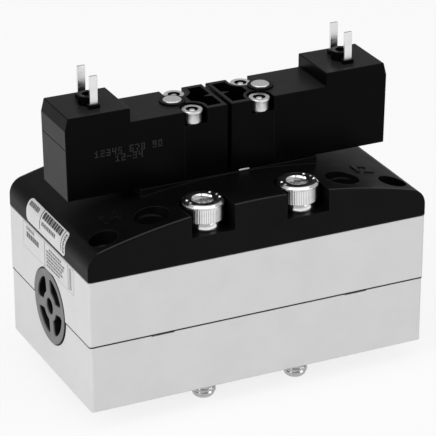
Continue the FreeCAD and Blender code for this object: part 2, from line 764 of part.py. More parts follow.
def mounting_screws():
    """Four cap screws, seated in the cover's recesses, that reach out of the underside."""
    tip = f"-({MOUNT_SEAT} + mount_reach)"
    collar = "mount_collar_height"
    head = "mount_head_height"
    corners = [
        (tip, "0"),
        (tip, "mount_thread_radius - mount_tip_chamfer"),
        (f"{tip} + mount_tip_chamfer", "mount_thread_radius"),
        (f"{tip} + mount_reach", "mount_thread_radius"),
        (f"{tip} + mount_reach", "mount_shank_radius"),
        ("0", "mount_shank_radius"),
        ("0", "mount_collar_radius"),
        (collar, "mount_collar_radius"),
        (collar, "mount_head_radius"),
        (f"{head} - mount_head_chamfer", "mount_head_radius"),
        (head, "mount_head_radius - mount_head_chamfer"),
        (head, "0"),
    ]
    return group("mounting_screws", [
        socket_screw("mounting_screw", x, y, MOUNT_SEAT, corners, "mount_socket_flats",
                     "mount_socket_depth", f"{MOUNT_SEAT} + {head}")
        for x, y in MOUNT_PLACES])


def cover_screws():
    """Four long screws that hold the cover and both halves of the housing together."""
    tip = f"-({COVER_SCREW_SEAT} - cover_screw_tip)"
    head = "cover_screw_head_height"
    corners = [
        (tip, "0"),
        (tip, "cover_screw_radius"),
        ("0", "cover_screw_radius"),
        ("0", "cover_screw_head_radius"),
        (head, "cover_screw_head_radius"),
        (head, "0"),
    ]
    return group("cover_screws", [
        socket_screw("cover_screw", x, y, COVER_SCREW_SEAT, corners, "cover_screw_socket_flats",
                     "cover_screw_socket_depth", f"{COVER_SCREW_SEAT} + {head}")
        for x, y in COVER_SCREW_PLACES])


def pilot_screws():
    """Two cap screws to each pilot, with a thin flange round the top of the head."""
    seat = f"({PILOT_SCREW_TOP} - {PILOT_SCREW_SEAT})"
    tip = f"{PILOT_SCREW_TIP} - {PILOT_SCREW_SEAT}"
    corners = [
        (tip, "0"),
        (tip, "pilot_screw_radius"),
        ("0", "pilot_screw_radius"),
        ("0", "pilot_screw_neck_radius"),
        (f"{seat} - pilot_screw_head_height", "pilot_screw_neck_radius"),
        (f"{seat} - pilot_screw_head_height", "pilot_screw_head_radius"),
        (seat, "pilot_screw_head_radius"),
        (seat, "0"),
    ]
    return group("pilot_screws", [
        socket_screw("pilot_screw", f"{right} * pilot_screw_place", f"{back} * pilot_screw_row",
                     PILOT_SCREW_SEAT, corners, "pilot_screw_socket_flats",
                     "pilot_screw_socket_depth", PILOT_SCREW_TOP)
        for right, back in CORNERS])


def pilot_screw_rods(label, radius, z, ways):
    rods = [rod(label, radius, "z", z, (f"{way} * pilot_screw_place", f"{back} * pilot_screw_row"))
            for way in ways for back in (-1, 1)]
    return group(label + "s", rods)


# Sleeve, spool and pistons

def sleeve_seal_places():
    """The rings lie between the galleries and at the sleeve's two ends."""
    end = f"({SLEEVE_END} - sleeve_seal_end - sleeve_seal_width / 2)"
    inner = [f"({place} + 1 / 2) * {PORT_PITCH}" for place in GALLERIES[:-1]]
    return [f"-{end}"] + inner + [end]


def valve_sleeve():
    """The ported sleeve, turned with its galleries and ring grooves, then drilled across."""
    seals = sleeve_seal_places()
    galleries = [f"{place} * {PORT_PITCH}" for place in GALLERIES]
    outer = [(f"-{SLEEVE_END}", SLEEVE_RADIUS)]
    for number, seal in enumerate(seals):
        outer += groove(seal, "sleeve_seal_width", SLEEVE_RADIUS, f"{SLEEVE_RADIUS} - sleeve_seal_depth")
        if number < len(galleries):
            outer += groove(galleries[number], "sleeve_groove_width", SLEEVE_RADIUS,
                            f"{SLEEVE_RADIUS} - sleeve_groove_depth")
    outer.append((SLEEVE_END, SLEEVE_RADIUS))
    inner = [(f"-{SLEEVE_END}", "sleeve_bore_radius")]
    for gallery in galleries:
        inner += groove(gallery, "sleeve_groove_width", "sleeve_bore_radius",
                        "sleeve_bore_radius + sleeve_relief_depth")
    inner.append((SLEEVE_END, "sleeve_bore_radius"))
    body = turned("sleeve_blank", outer + inner[::-1], "x", base_z=SPOOL_AXIS)
    holes = []
    for gallery in galleries:
        holes.append(rod("sleeve_hole", "sleeve_hole_radius", "z",
                         (f"{SPOOL_AXIS} - {SLEEVE_SEAT}", f"{SPOOL_AXIS} + {SLEEVE_SEAT}"), (gallery, "0")))
        holes.append(rod("sleeve_hole", "sleeve_hole_radius", "y",
                         (f"-{SLEEVE_SEAT}", SLEEVE_SEAT), (gallery, SPOOL_AXIS)))
    return less("valve_sleeve", body, *holes)


def groove(middle, width, level, floor):
    """The four corners of a square groove in a turned outline."""
    start = f"{middle} - {width} / 2"
    finish = f"{middle} + {width} / 2"
    return [(start, level), (start, floor), (finish, floor), (finish, level)]


def rings(label, places, width, inner, outer):
    """A set of rings about the spool's axis, centred at the places."""
    return group(label, [
        ring(label + "_ring", inner, outer, "x", (f"{place} - {width} / 2", f"{place} + {width} / 2"),
             ("0", SPOOL_AXIS))
        for place in places])


def land_places():
    return [f"-{OUTER_LAND}", f"-{INNER_LAND}", INNER_LAND, OUTER_LAND]


def spool():
    """The spool at the left end of its stroke: four lands on a thin neck, with their ring grooves."""
    end = f"({PISTON_FACE} - piston_width)"
    corners = [(f"{SPOOL_REST} - {end}", "0"), (f"{SPOOL_REST} - {end}", "neck_radius")]
    for place in land_places():
        middle = f"({SPOOL_REST} + {place})"
        corners.append((f"{middle} - land_width / 2", "neck_radius"))
        corners.append((f"{middle} - land_width / 2", SPOOL_RADIUS))
        corners += groove(middle, "land_seal_width", SPOOL_RADIUS, f"{SPOOL_RADIUS} - land_seal_depth")
        corners.append((f"{middle} + land_width / 2", SPOOL_RADIUS))
        corners.append((f"{middle} + land_width / 2", "neck_radius"))
    corners += [(f"{SPOOL_REST} + {end}", "neck_radius"), (f"{SPOOL_REST} + {end}", "0")]
    return turned("spool", corners, "x", base_z=SPOOL_AXIS)


def piston(word, side):
    """A piston with a ring groove, and a small stop on the face that meets the plug."""
    inner = f"({PISTON_FACE} - piston_width)"
    face = f"({PISTON_FACE} - piston_stop_height)"
    corners = [(inner, "0"), (inner, PISTON_RADIUS)]
    corners += groove(f"({inner} + {face}) / 2", "piston_seal_width", PISTON_RADIUS,
                      f"{PISTON_RADIUS} - piston_seal_depth")
    corners += [(face, PISTON_RADIUS), (face, "piston_stop_radius"), (PISTON_FACE, "piston_stop_radius"),
                (PISTON_FACE, "0")]
    body = turned(word + "_piston", corners, "x", base_x=SPOOL_REST, base_z=SPOOL_AXIS)
    return turn_about_z(body, side)


def piston_seals():
    middle = f"({PISTON_FACE} - (piston_width + piston_stop_height) / 2)"
    return rings("piston_seals", [f"{SPOOL_REST} - {middle}", f"{SPOOL_REST} + {middle}"],
                 "piston_seal_width", f"{PISTON_RADIUS} - piston_seal_depth", f"{SLEEVE_SEAT} - seal_ease")


def spool_seals():
    places = [f"{SPOOL_REST} + {place}" for place in land_places()]
    return rings("spool_seals", places, "land_seal_width", f"{SPOOL_RADIUS} - land_seal_depth",
                 "sleeve_bore_radius - seal_ease")


# End plugs

def end_plug(word, side):
    """A deep cup that is the piston's cylinder, with a spoked face and a collar that locks it."""
    relief = "(plug_radius - air_relief_depth)"
    collar_end = f"({PLUG_COLLAR} + plug_collar_width)"
    corners = [(PLUG_SHOULDER, SLEEVE_SEAT), (PLUG_SHOULDER, "plug_radius")]
    corners += groove(PLUG_SEAL_MIDDLE, "plug_seal_width", "plug_radius",
                      "plug_radius - plug_seal_depth")
    corners += groove(AIR_PLACE, "air_relief_width", "plug_radius", relief)
    corners += [
        (PLUG_COLLAR, "plug_radius"),
        (PLUG_COLLAR, PLUG_COLLAR_RADIUS),
        (collar_end, PLUG_COLLAR_RADIUS),
        (collar_end, "plug_radius"),
        (PLUG_FACE, "plug_radius"),
        (PLUG_FACE, "0"),
        (PLUG_WEB_PLACE, "0"),
        (PLUG_WEB_PLACE, SLEEVE_SEAT),
    ]
    body = turned(word + "_plug_blank", corners, "x")
    floor = f"({PLUG_WEB_PLACE} + plug_web)"
    deep = (floor, f"{LENGTH_END} + 1")
    centre = ("0", "0")
    half = "plug_spoke_width / 2"
    reach = ("-plug_radius", "plug_radius")
    pockets = less(word + "_plug_pockets",
                   rod("pocket_disc", "plug_radius - plug_ring_wall", "x", deep, centre),
                   rod("hub", "plug_hub_radius", "x", deep, centre),
                   block("spoke", deep, (f"-{half}", half), reach),
                   block("spoke", deep, reach, (f"-{half}", half)))
    rounded = softened(word + "_plug_pockets_rounded", pockets, "plug_pocket_round", along_x)
    rounded.Placement.Rotation = FreeCAD.Rotation(FreeCAD.Vector(1, 0, 0), value("plug_turn"))
    bind(rounded, **{"Placement.Rotation.Angle": "plug_turn"})
    hub_hole = rod("hub_hole", "plug_hub_hole_radius", "x", deep, centre)
    air = [rod("plug_air", "air_radius", way, reach, (AIR_PLACE, "0")) for way in "zy"]
    plug = less(word + "_end_plug", body, rounded, hub_hole, *air)
    return turn_about_z(bind(plug, base_z=SPOOL_AXIS), side)


def plug_seals():
    return rings("plug_seals", [f"-{PLUG_SEAL_MIDDLE}", PLUG_SEAL_MIDDLE], "plug_seal_width",
                 "plug_radius - plug_seal_depth", "plug_radius + plug_clearance - seal_ease")


# Pilots, each drawn for the right side and turned half round for the left

def outer_edge_of_coil(edge):
    """Whether an edge is one that a hand meets: not at the seam, on the cover or in a corner."""
    spots = [corner.Point for corner in edge.Vertexes]
    at_seam = all(spot.x < value("pilot_seam") + NEAR for spot in spots)
    on_cover = all(spot.z < value(PILOT_BASE) + NEAR for spot in spots)
    across = not on_sides(edge, "pilot_width / 2")
    in_corner = across and all(abs(spot.z - value(PILOT_TOP)) < NEAR for spot in spots)
    return not (at_seam or on_cover or in_corner)


def coil_block(word, side):
    """The moulded coil block with its raised connector head, boss and blade plinths."""
    body = doc.addObject("PartDesign::Body", word + "_coil_blank")
    corners = [
        ("pilot_seam", PILOT_BASE),
        ("pilot_end - pilot_end_draft", PILOT_BASE),
        ("pilot_end", f"{HEAD_TOP} - head_slope_height"),
        ("pilot_end - head_slope_depth", HEAD_TOP),
        ("head_start", HEAD_TOP),
        ("head_start", PILOT_TOP),
        ("pilot_seam", PILOT_TOP),
    ]
    base = pad(body, outline(body, "XZ", corners), "pilot_width", both_ways=True)
    round_edges(body, base, "pilot_round", outer_edge_of_coil)
    boss = rod("boss", "boss_radius", "z", (INSERT_FOOT, f"{HEAD_TOP} + boss_height"),
               ("connector_place", "0"))
    plinths = [blade_block("plinth", back, "plinth_margin", (BLADE_FOOT, f"{HEAD_TOP} + plinth_height"))
               for back in (-1, 1)]
    solid = joined(word + "_coil_solid", [body, boss] + plinths)
    blades = [blade_block("blade_slot", back, "0", (BLADE_FOOT, BLADE_TOP)) for back in (-1, 1)]
    insert = rod("insert_seat", "insert_radius", "z", (INSERT_FOOT, INSERT_TOP), ("connector_place", "0"))
    hole = rod("boss_hole", "boss_hole_radius", "z", (INSERT_TOP, BLADE_TOP), ("connector_place", "0"))
    cavity = rod("yoke_seat", "yoke_radius + winding_clearance", "x", ("yoke_start", "yoke_end"),
                 ("0", PILOT_AXIS))
    tube = rod("tube_seat", TUBE_SEAT, "x", ("pilot_seam - 1", "tube_end"), ("0", PILOT_AXIS))
    line = block("parting_line", ("pilot_end - parting_depth", "pilot_end + 1"),
                 ("-pilot_width", "pilot_width"), (PARTING_PLACE, f"{PARTING_PLACE} + parting_width"))
    return turn_about_z(less(word + "_coil_block", solid, insert, hole, cavity, tube, line,
                             collar_seat(word), *blades), side)


def collar_seat(word):
    """The round seat of the override's collar, half in the coil block, and its stem hole."""
    place = ("override_place", "0")
    seat = rod("collar_seat", "collar_radius + collar_clearance", "z", (COLLAR_BASE, HEAD_TOP), place)
    stem = rod("stem_hole", "override_stem_radius + override_clearance", "z",
               (PILOT_AXIS, f"{COLLAR_BASE} + 1"), place)
    return joined(word + "_collar_cut", [seat, stem])


def blade_block(label, back, margin, z):
    """A box about one contact blade, larger by the margin."""
    middle = f"{back} * blade_pitch / 2"
    width = f"(blade_width / 2 + {margin})"
    thickness = f"(blade_thickness / 2 + {margin})"
    return block(label, (f"connector_place - {width}", f"connector_place + {width}"),
                 (f"{middle} - {thickness}", f"{middle} + {thickness}"), z)


def connector_blades():
    blades = []
    for word, side in SIDES:
        pair = group(word + "_blade_pair",
                     [blade_block("blade", back, "0", (BLADE_FOOT, BLADE_TOP)) for back in (-1, 1)])
        blades.append(turn_about_z(pair, side))
    return group("connector_blades", blades)


def connector_insert(word, side):
    place = (f"{side} * connector_place", "0")
    return ring(word + "_connector_insert", "insert_thread_radius", "insert_radius", "z",
                (INSERT_FOOT, INSERT_TOP), place)


def outer_edge_of_body(edge):
    """Whether an edge of the valve body is away from the seam and the cover."""
    spots = [corner.Point for corner in edge.Vertexes]
    at_seam = all(spot.x > value("pilot_seam") - NEAR for spot in spots)
    on_cover = all(spot.z < value(PILOT_BASE) + NEAR for spot in spots)
    return not (at_seam or on_cover)


def pilot_body(word, side):
    """The pilot's valve body: nozzle chamber, moulded top pocket and open screw notches."""
    body = doc.addObject("PartDesign::Body", word + "_pilot_blank")
    corners = [(PILOT_START, PILOT_BASE), ("pilot_seam", PILOT_BASE), ("pilot_seam", PILOT_TOP),
               (PILOT_START, PILOT_TOP)]
    base = pad(body, outline(body, "XZ", corners), "pilot_width", both_ways=True)
    round_edges(body, base, "pilot_round", outer_edge_of_body)
    axis = ("0", PILOT_AXIS)
    chamber = rod("chamber", TUBE_SEAT, "x", ("nozzle_shoulder", "pilot_seam + 1"), axis)
    seat = rod("nozzle_seat", "nozzle_radius + winding_clearance", "x",
               ("nozzle_start", "nozzle_shoulder + 1"), axis)
    feed = rod("feed", "passage_radius", "x", ("supply_place", "nozzle_start + 1"), axis)
    riser = rod("feed_riser", "passage_radius", "z", (f"{PILOT_BASE} - 1", PILOT_AXIS),
                ("supply_place", "0"))
    outlet = rod("outlet", "passage_radius", "z", (f"{PILOT_BASE} - 1", PILOT_AXIS),
                 ("outlet_place", "0"))
    holes = pilot_screw_rods(word + "_body_hole", "pilot_screw_radius + pilot_screw_clearance",
                             (f"{PILOT_BASE} - 1", PILOT_TOP), (1,))
    return turn_about_z(less(word + "_pilot_body", body, chamber, seat, feed, riser, outlet, holes,
                             top_pocket(word), screw_notches(word), collar_seat(word)), side)


def top_pocket(word):
    """A pocket whose far side bends round the screw notches and the override's collar."""
    z = (POCKET_FLOOR, f"{PILOT_TOP} + 1")
    inner = f"({PILOT_START} + pocket_wall)"
    room = block("pocket_room", (inner, "pocket_reach"),
                 ("-pocket_half_width", "pocket_half_width"), z)
    bites = [rod("bite", "notch_radius + pocket_rim", "z", z,
                 ("pilot_screw_place", f"{back} * pilot_screw_row")) for back in (-1, 1)]
    bump = rod("bump", "collar_radius + collar_clearance + pocket_rim", "z", z, ("override_place", "0"))
    return less(word + "_pocket", room, *bites, bump, pocket_rib(word))


def pocket_rib(word):
    """The pointed rib on the pocket's inner wall."""
    body = doc.addObject("PartDesign::Body", word + "_pocket_rib")
    inner = f"({PILOT_START} + pocket_wall)"
    corners = [(inner, "-pocket_rib_half_width"), (f"{inner} + pocket_rib_reach", "0"),
               (inner, "pocket_rib_half_width")]
    pad(body, outline(body, "XY", corners), "pocket_depth")
    return bind(body, base_z=POCKET_FLOOR)


def screw_notches(word):
    """Notches open to the sides, in which the pilot screws' heads stand."""
    z = (PILOT_SCREW_SEAT, f"{PILOT_TOP} + 1")
    half = "pilot_width / 2"
    cuts = []
    for back in (-1, 1):
        row = f"{back} * pilot_screw_row"
        outer = (row, f"{half} + 1") if back > 0 else (f"-{half} - 1", row)
        cuts.append(rod("notch_end", "notch_radius", "z", z, ("pilot_screw_place", row)))
        cuts.append(block("notch_mouth", ("pilot_screw_place - notch_radius", "pilot_seam + 0.01"), outer, z))
    return joined(word + "_notches", cuts)


def pilot_seal(word, side):
    """The flat seal between the screws, with a tab that shows at one side."""
    half = "(pilot_width / 2 - pilot_seal_side_inset)"
    z = (PAD_TOP, PILOT_BASE)
    ends = (f"{PILOT_START} + pilot_seal_end_inset", "pilot_seam - pilot_seal_end_inset")
    sheet_part = block("seal_sheet", ends, (f"-{half}", half), z)
    tab = block("seal_tab", ("pilot_seal_tab_place", "pilot_seal_tab_place + pilot_seal_tab_length"),
                ("-pilot_width / 2 - pilot_seal_tab_out", f"-{half} + 1"), z)
    through = (f"{PAD_TOP} - 1", f"{PILOT_BASE} + 1")
    holes = [rod("seal_hole", "passage_radius", "z", through, (place, "0"))
             for place in ("supply_place", "outlet_place")]
    return turn_about_z(less(word + "_pilot_seal", joined("seal_blank", [sheet_part, tab]), *holes), side)


def override_collar(word, side):
    corners = [
        (COLLAR_BASE, "override_stem_radius + override_clearance"),
        (COLLAR_BASE, "collar_radius"),
        (COLLAR_TOP, "collar_radius"),
        (COLLAR_TOP, "override_radius + override_clearance"),
        (COLLAR_SHELF, "override_radius + override_clearance"),
        (COLLAR_SHELF, "override_stem_radius + override_clearance"),
    ]
    return turned(word + "_override_collar", corners, "z", base_x=f"{side} * override_place")


def override_button(word, side):
    under = f"({OVERRIDE_TOP} - override_cap_height)"
    corners = [
        (OVERRIDE_TIP, "0"),
        (f"{OVERRIDE_TIP} + override_stem_radius / 2", "override_stem_radius"),
        (under, "override_stem_radius"),
        (under, "override_radius"),
        (f"{OVERRIDE_TOP} - override_chamfer", "override_radius"),
        (OVERRIDE_TOP, "override_radius - override_chamfer"),
        (OVERRIDE_TOP, "0"),
    ]
    return turned(word + "_override_button", corners, "z", base_x=f"{side} * override_place")


def override_spring(word, side):
    length = f"({OVERRIDE_TOP} - override_cap_height - {COLLAR_SHELF})"
    coil = spring(word + "_override_spring", "override_spring_radius", "override_spring_turns", length)
    return bind(coil, base_x=f"{side} * override_place", base_z=f"{COLLAR_SHELF} + spring_wire_radius")


def yoke(word, side):
    """The steel can round the winding, with a plate at each end."""
    axis = ("0", PILOT_AXIS)
    can = rod("can", "yoke_radius", "x", ("yoke_start", "yoke_end"), axis)
    room = rod("can_room", "yoke_radius - yoke_wall", "x",
               ("yoke_start + yoke_plate", "yoke_end - yoke_plate"), axis)
    hole = rod("can_hole", TUBE_SEAT, "x", ("yoke_start - 1", "yoke_end + 1"), axis)
    return turn_about_z(less(word + "_yoke", can, room, hole), side)


def winding(word, side):
    ends = ("yoke_start + yoke_plate + winding_clearance", "yoke_end - yoke_plate - winding_clearance")
    return turn_about_z(ring(word + "_winding", TUBE_SEAT, "yoke_radius - yoke_wall - winding_clearance",
                             "x", ends, ("0", PILOT_AXIS)), side)


def armature_tube(word, side):
    axis = ("0", PILOT_AXIS)
    tube = ring(word + "_tube_blank", TUBE_BORE, "tube_radius", "x", ("tube_start", "tube_end"), axis)
    stem = rod("tube_stem_hole", "override_stem_radius + 2 * override_clearance", "z",
               (PILOT_AXIS, COLLAR_BASE), ("override_place", "0"))
    return turn_about_z(less(word + "_armature_tube", tube, stem), side)


def fixed_core(word, side):
    core = rod(word + "_core_blank", f"{TUBE_BORE} - core_clearance", "x", ("core_place", "tube_end"),
               ("0", PILOT_AXIS))
    dimple = rod("core_dimple", "nozzle_hole_radius", "x", ("tube_end - 1", "tube_end + 1"),
                 ("0", PILOT_AXIS))
    return turn_about_z(less(word + "_fixed_core", core, dimple), side)


def armature(word, side):
    """The plunger: a pocket for its seal, a groove for the override's tip and a spring bore."""
    outer = f"({TUBE_BORE} - armature_clearance)"
    floor = "armature_start + armature_seal_depth"
    bore = "armature_end - armature_bore_depth"
    corners = [("armature_start", "armature_seal_radius"), ("armature_start", outer)]
    corners += groove("override_place", "armature_groove_width", outer, "armature_groove_radius")
    corners += [
        ("armature_end", outer),
        ("armature_end", "armature_bore_radius"),
        (bore, "armature_bore_radius"),
        (bore, "0"),
        (floor, "0"),
        (floor, "armature_seal_radius"),
    ]
    return turn_about_z(turned(word + "_armature", corners, "x", base_z=PILOT_AXIS), side)


def armature_seal(word, side):
    """The soft disc in the plunger's end, that closes the nozzle."""
    disc = rod(word + "_armature_seal", "armature_seal_radius", "x",
               ("armature_start", "armature_start + armature_seal_depth"), ("0", PILOT_AXIS))
    item = group(word + "_seal_turned", [disc])
    return turn_about_z(item, side)


def armature_spring(word, side):
    """The return spring, from the floor of the plunger's bore to the fixed core."""
    foot = "(armature_end - armature_bore_depth)"
    coil = spring(word + "_armature_spring", "armature_spring_radius", "armature_spring_turns",
                  f"core_place - {foot}")
    way = FreeCAD.Vector(side, 0, 0)
    coil.Placement.Rotation = FreeCAD.Rotation(FreeCAD.Vector(0, 0, 1), way)
    return bind(coil, base_x=f"{side} * ({foot} + spring_wire_radius)", base_z=PILOT_AXIS)


def nozzle(word, side):
    corners = [
        ("nozzle_start", "nozzle_hole_radius"),
        ("nozzle_start", "nozzle_radius"),
        ("nozzle_shoulder", "nozzle_radius"),
        ("nozzle_tip", "nozzle_tip_radius"),
        ("nozzle_tip", "nozzle_hole_radius"),
    ]
    return turn_about_z(turned(word + "_nozzle", corners, "x", base_z=PILOT_AXIS), side)


# All pieces, by name

nodes = {
    "lower_housing": lower_housing(),
    "upper_housing": upper_housing(),
    "housing_gasket": housing_gasket(),
    "interface_gasket": interface_gasket(),
    "cover_gasket": cover_gasket(),
    "top_cover": top_cover(),
    "recess_plugs": recess_plugs(),
    "mounting_screws": mounting_screws(),
    "cover_screws": cover_screws(),
    "pilot_screws": pilot_screws(),
    "valve_sleeve": valve_sleeve(),
    "sleeve_seals": rings("sleeve_seals", sleeve_seal_places(), "sleeve_seal_width",
                          f"{SLEEVE_RADIUS} - sleeve_seal_depth", f"{SLEEVE_SEAT} - seal_ease"),
    "spool": spool(),
    "spool_seals": spool_seals(),
    "piston_seals": piston_seals(),
    "plug_seals": plug_seals(),
    "connector_blades": connector_blades(),
}
PILOT_PIECES = {
    "end_plug": end_plug,
    "piston": piston,
    "coil_block": coil_block,
    "pilot_body": pilot_body,
    "pilot_seal": pilot_seal,
    "connector_insert": connector_insert,
    "override_collar": override_collar,
    "override_button": override_button,
    "override_spring": override_spring,
    "yoke": yoke,
    "winding": winding,
    "armature_tube": armature_tube,
    "fixed_core": fixed_core,
    "armature": armature,
    "armature_seal": armature_seal,
    "armature_spring": armature_spring,
    "nozzle": nozzle,
}
for word, side in SIDES:
    for name, build in PILOT_PIECES.items():
        nodes[f"{word}_{name}"] = build(word, side)

doc.recompute()
for item in doc.Objects:
    if "Invalid" in item.State or "Error" in item.State:
        raise RuntimeError(f"{item.Label} failed: {item.State}")

os.makedirs("parts", exist_ok=True)
for name, item in nodes.items():
    item.Label = name
    shape = item.Shape
    if shape.isNull() or not shape.isValid() or not shape.Solids:
        raise RuntimeError(f"{name} has no sound solid")
for name, item in nodes.items():
    item.Shape.exportStep(f"parts/{name}.step")
    print(name, len(item.Shape.Solids), round(item.Shape.Volume, 1))
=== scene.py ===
"""A pneumatic directional valve for a base plate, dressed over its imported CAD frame."""
import json
import math

import bmesh
import bpy
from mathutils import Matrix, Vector


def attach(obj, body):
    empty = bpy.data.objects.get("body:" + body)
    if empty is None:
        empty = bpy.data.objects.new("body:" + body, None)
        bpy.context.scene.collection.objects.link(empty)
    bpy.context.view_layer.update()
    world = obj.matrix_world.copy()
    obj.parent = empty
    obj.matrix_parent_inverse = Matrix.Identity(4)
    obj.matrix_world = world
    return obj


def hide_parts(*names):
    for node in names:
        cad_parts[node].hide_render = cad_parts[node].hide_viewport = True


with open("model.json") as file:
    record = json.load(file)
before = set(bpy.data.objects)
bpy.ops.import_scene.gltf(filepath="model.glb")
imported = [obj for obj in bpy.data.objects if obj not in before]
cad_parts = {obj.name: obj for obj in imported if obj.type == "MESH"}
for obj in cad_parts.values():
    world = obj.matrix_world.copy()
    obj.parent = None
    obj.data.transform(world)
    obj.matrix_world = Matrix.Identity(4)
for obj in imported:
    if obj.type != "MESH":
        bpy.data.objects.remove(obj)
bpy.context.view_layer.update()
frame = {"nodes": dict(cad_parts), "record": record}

MM = 0.001
VALVE = "valve"

# The valve's own places, in millimetres, as in the CAD
LENGTH_END = 57.15
SIDE = 31.75
SPOOL_HEIGHT = 21.9
COVER_BASE = 43.7
COVER_CREST = 59.8
COVER_ARC = 200.0
COVER_ARC_CENTRE = COVER_CREST - COVER_ARC
COVER_CORNER = 5.5
MOUNT_SEAT = 51.5
MOUNT_PITCH = (32.0, 48.0)
COVER_SCREW_PITCH = (98.0, 49.0)
REAR_COVER_SCREW_PITCH = 86.4
COVER_SCREW_SEAT = 46.2
PILOT_SCREW_PITCH = (22.8, 13.2)
PILOT_SCREW_SEAT = 78.1
PILOT_FRONT = -9.6
CONNECTOR_PLACE = 43.0
FLOOR_LEVEL = -6.8

# The long screws' heads, 0.7 taller here than in the CAD, and how far each hex socket is turned
MOUNT_HEAD = 8.7
MOUNT_TOP = MOUNT_SEAT + MOUNT_HEAD
SOCKET_TURN = math.radians(14)

SHARP_ANGLE = math.radians(32)


# Shader nodes

def put(tree, kind, settings=None, inputs=None):
    """Adds a node, sets it up, and gives its inputs a value or a link."""
    node = tree.nodes.new(kind)
    for name, value in (settings or {}).items():
        setattr(node, name, value)
    for name, value in (inputs or {}).items():
        feed(tree, node.inputs[name], value)
    return node


def feed(tree, socket, value):
    """Links an input to another node's output, or sets its value."""
    if isinstance(value, bpy.types.NodeSocket):
        tree.links.new(value, socket)
    else:
        socket.default_value = value


def maths(tree, kind, first, second=0.0):
    """A Math node's result."""
    node = put(tree, "ShaderNodeMath", {"operation": kind})
    feed(tree, node.inputs[0], first)
    feed(tree, node.inputs[1], second)
    return node.outputs[0]


def product(tree, first, second):
    return maths(tree, "MULTIPLY", first, second)


def size_of(tree, value):
    """A value without its sign."""
    return maths(tree, "ABSOLUTE", value)


def squared_from(tree, value, centre):
    """The square of how far a value lies from a centre in millimetres."""
    away = maths(tree, "SUBTRACT", value, centre * MM)
    return product(tree, away, away)


def weighed(tree, first, second, share):
    """Two values added up, the first with its share and the second with the rest."""
    return maths(tree, "ADD", product(tree, first, share), product(tree, second, 1 - share))


def blend_of(tree, share, first, second):
    """A colour between two others."""
    node = put(tree, "ShaderNodeMix", {"data_type": "RGBA"})
    feed(tree, node.inputs[0], share)
    feed(tree, node.inputs[6], first)
    feed(tree, node.inputs[7], second)
    return node.outputs[2]


def spread(tree, value, low, high, new_low=0.0, new_high=1.0):
    """A value taken from one range to another, and held within it."""
    node = put(tree, "ShaderNodeMapRange", None, {
        "Value": value, "From Min": low, "From Max": high, "To Min": new_low, "To Max": new_high})
    return node.outputs["Result"]


def past(tree, value, low, high):
    """A mask that rises from a first place to a second, both in millimetres."""
    return spread(tree, value, low * MM, high * MM)


def past_radius(tree, squared, low, high):
    """A mask that rises from a first radius to a second, from a squared distance."""
    return spread(tree, squared, (low * MM) ** 2, (high * MM) ** 2)


def place_of(tree, axis):
    """A place on one of the object's own axes."""
    where = tree.nodes.new("ShaderNodeTexCoord").outputs["Object"]
    return put(tree, "ShaderNodeSeparateXYZ", None, {"Vector": where}).outputs[axis]


def normal_of(tree):
    return tree.nodes.new("ShaderNodeNewGeometry").outputs["Normal"]


def facing(tree, axis):
    """How far a face looks along an axis."""
    return put(tree, "ShaderNodeSeparateXYZ", None, {"Vector": normal_of(tree)}).outputs[axis]


def noise(tree, where, scale, detail=3.0, roughness=0.55):
    node = put(tree, "ShaderNodeTexNoise", None, {
        "Vector": where, "Scale": scale, "Detail": detail, "Roughness": roughness})
    return node.outputs["Fac"]


def noise_scale(tree, size):
    """A noise's scale from the size of its grains in millimetres."""
    return maths(tree, "DIVIDE", 1.0 / MM, size)


# Shared effects

def start_effect(name, inputs, outputs):
    """An empty shader node group with its named sockets, its inner ends and the object's coordinates."""
    tree = bpy.data.node_groups.new(name, "ShaderNodeTree")
    for label, value in inputs:
        kind = "NodeSocketVector" if isinstance(value, tuple) else "NodeSocketFloat"
        tree.interface.new_socket(name=label, in_out="INPUT", socket_type=kind).default_value = value
    for label, kind in outputs:
        tree.interface.new_socket(name=label, in_out="OUTPUT", socket_type=kind)
    given = tree.nodes.new("NodeGroupInput").outputs
    result = tree.nodes.new("NodeGroupOutput").inputs
    where = tree.nodes.new("ShaderNodeTexCoord").outputs["Object"]
    return tree, given, result, where


def moulded_grain_effect():
    """The fine spark-eroded skin of a moulding or a painted casting: its height and its tone."""
    tree, given, result, where = start_effect(
        "Moulded grain", [("Grain Size", 0.4), ("Flow Size", 9.0)],
        [("Height", "NodeSocketFloat"), ("Tone", "NodeSocketFloat")])
    fine = noise(tree, where, noise_scale(tree, given["Grain Size"]), 4.0, 0.6)
    flow = noise(tree, where, noise_scale(tree, given["Flow Size"]), 2.0)
    feed(tree, result["Height"], fine)
    feed(tree, result["Tone"], weighed(tree, flow, fine, 0.7))
    return tree


def worn_and_highlit_edges_effect():
    """Edges broken to a small radius, and a mask of where hands and tools have worn them, which the materials
    use both for wear and for painted edge highlights.
    """
    tree, given, result, where = start_effect(
        "Worn and highlit edges", [("Radius", 0.25), ("Patch Size", 3.0)],
        [("Normal", "NodeSocketVector"), ("Edge", "NodeSocketFloat")])
    bevel = put(tree, "ShaderNodeBevel", {"samples": 6}, {"Radius": product(tree, given["Radius"], MM)})
    turn = put(tree, "ShaderNodeVectorMath", {"operation": "DOT_PRODUCT"})
    feed(tree, turn.inputs[0], bevel.outputs["Normal"])
    feed(tree, turn.inputs[1], normal_of(tree))
    edge = spread(tree, turn.outputs["Value"], 0.995, 0.80)
    cloud = noise(tree, where, noise_scale(tree, given["Patch Size"]))
    patches = spread(tree, cloud, 0.3, 0.7, 0.45, 1.0)
    feed(tree, result["Normal"], bevel.outputs["Normal"])
    feed(tree, result["Edge"], product(tree, edge, patches))
    return tree


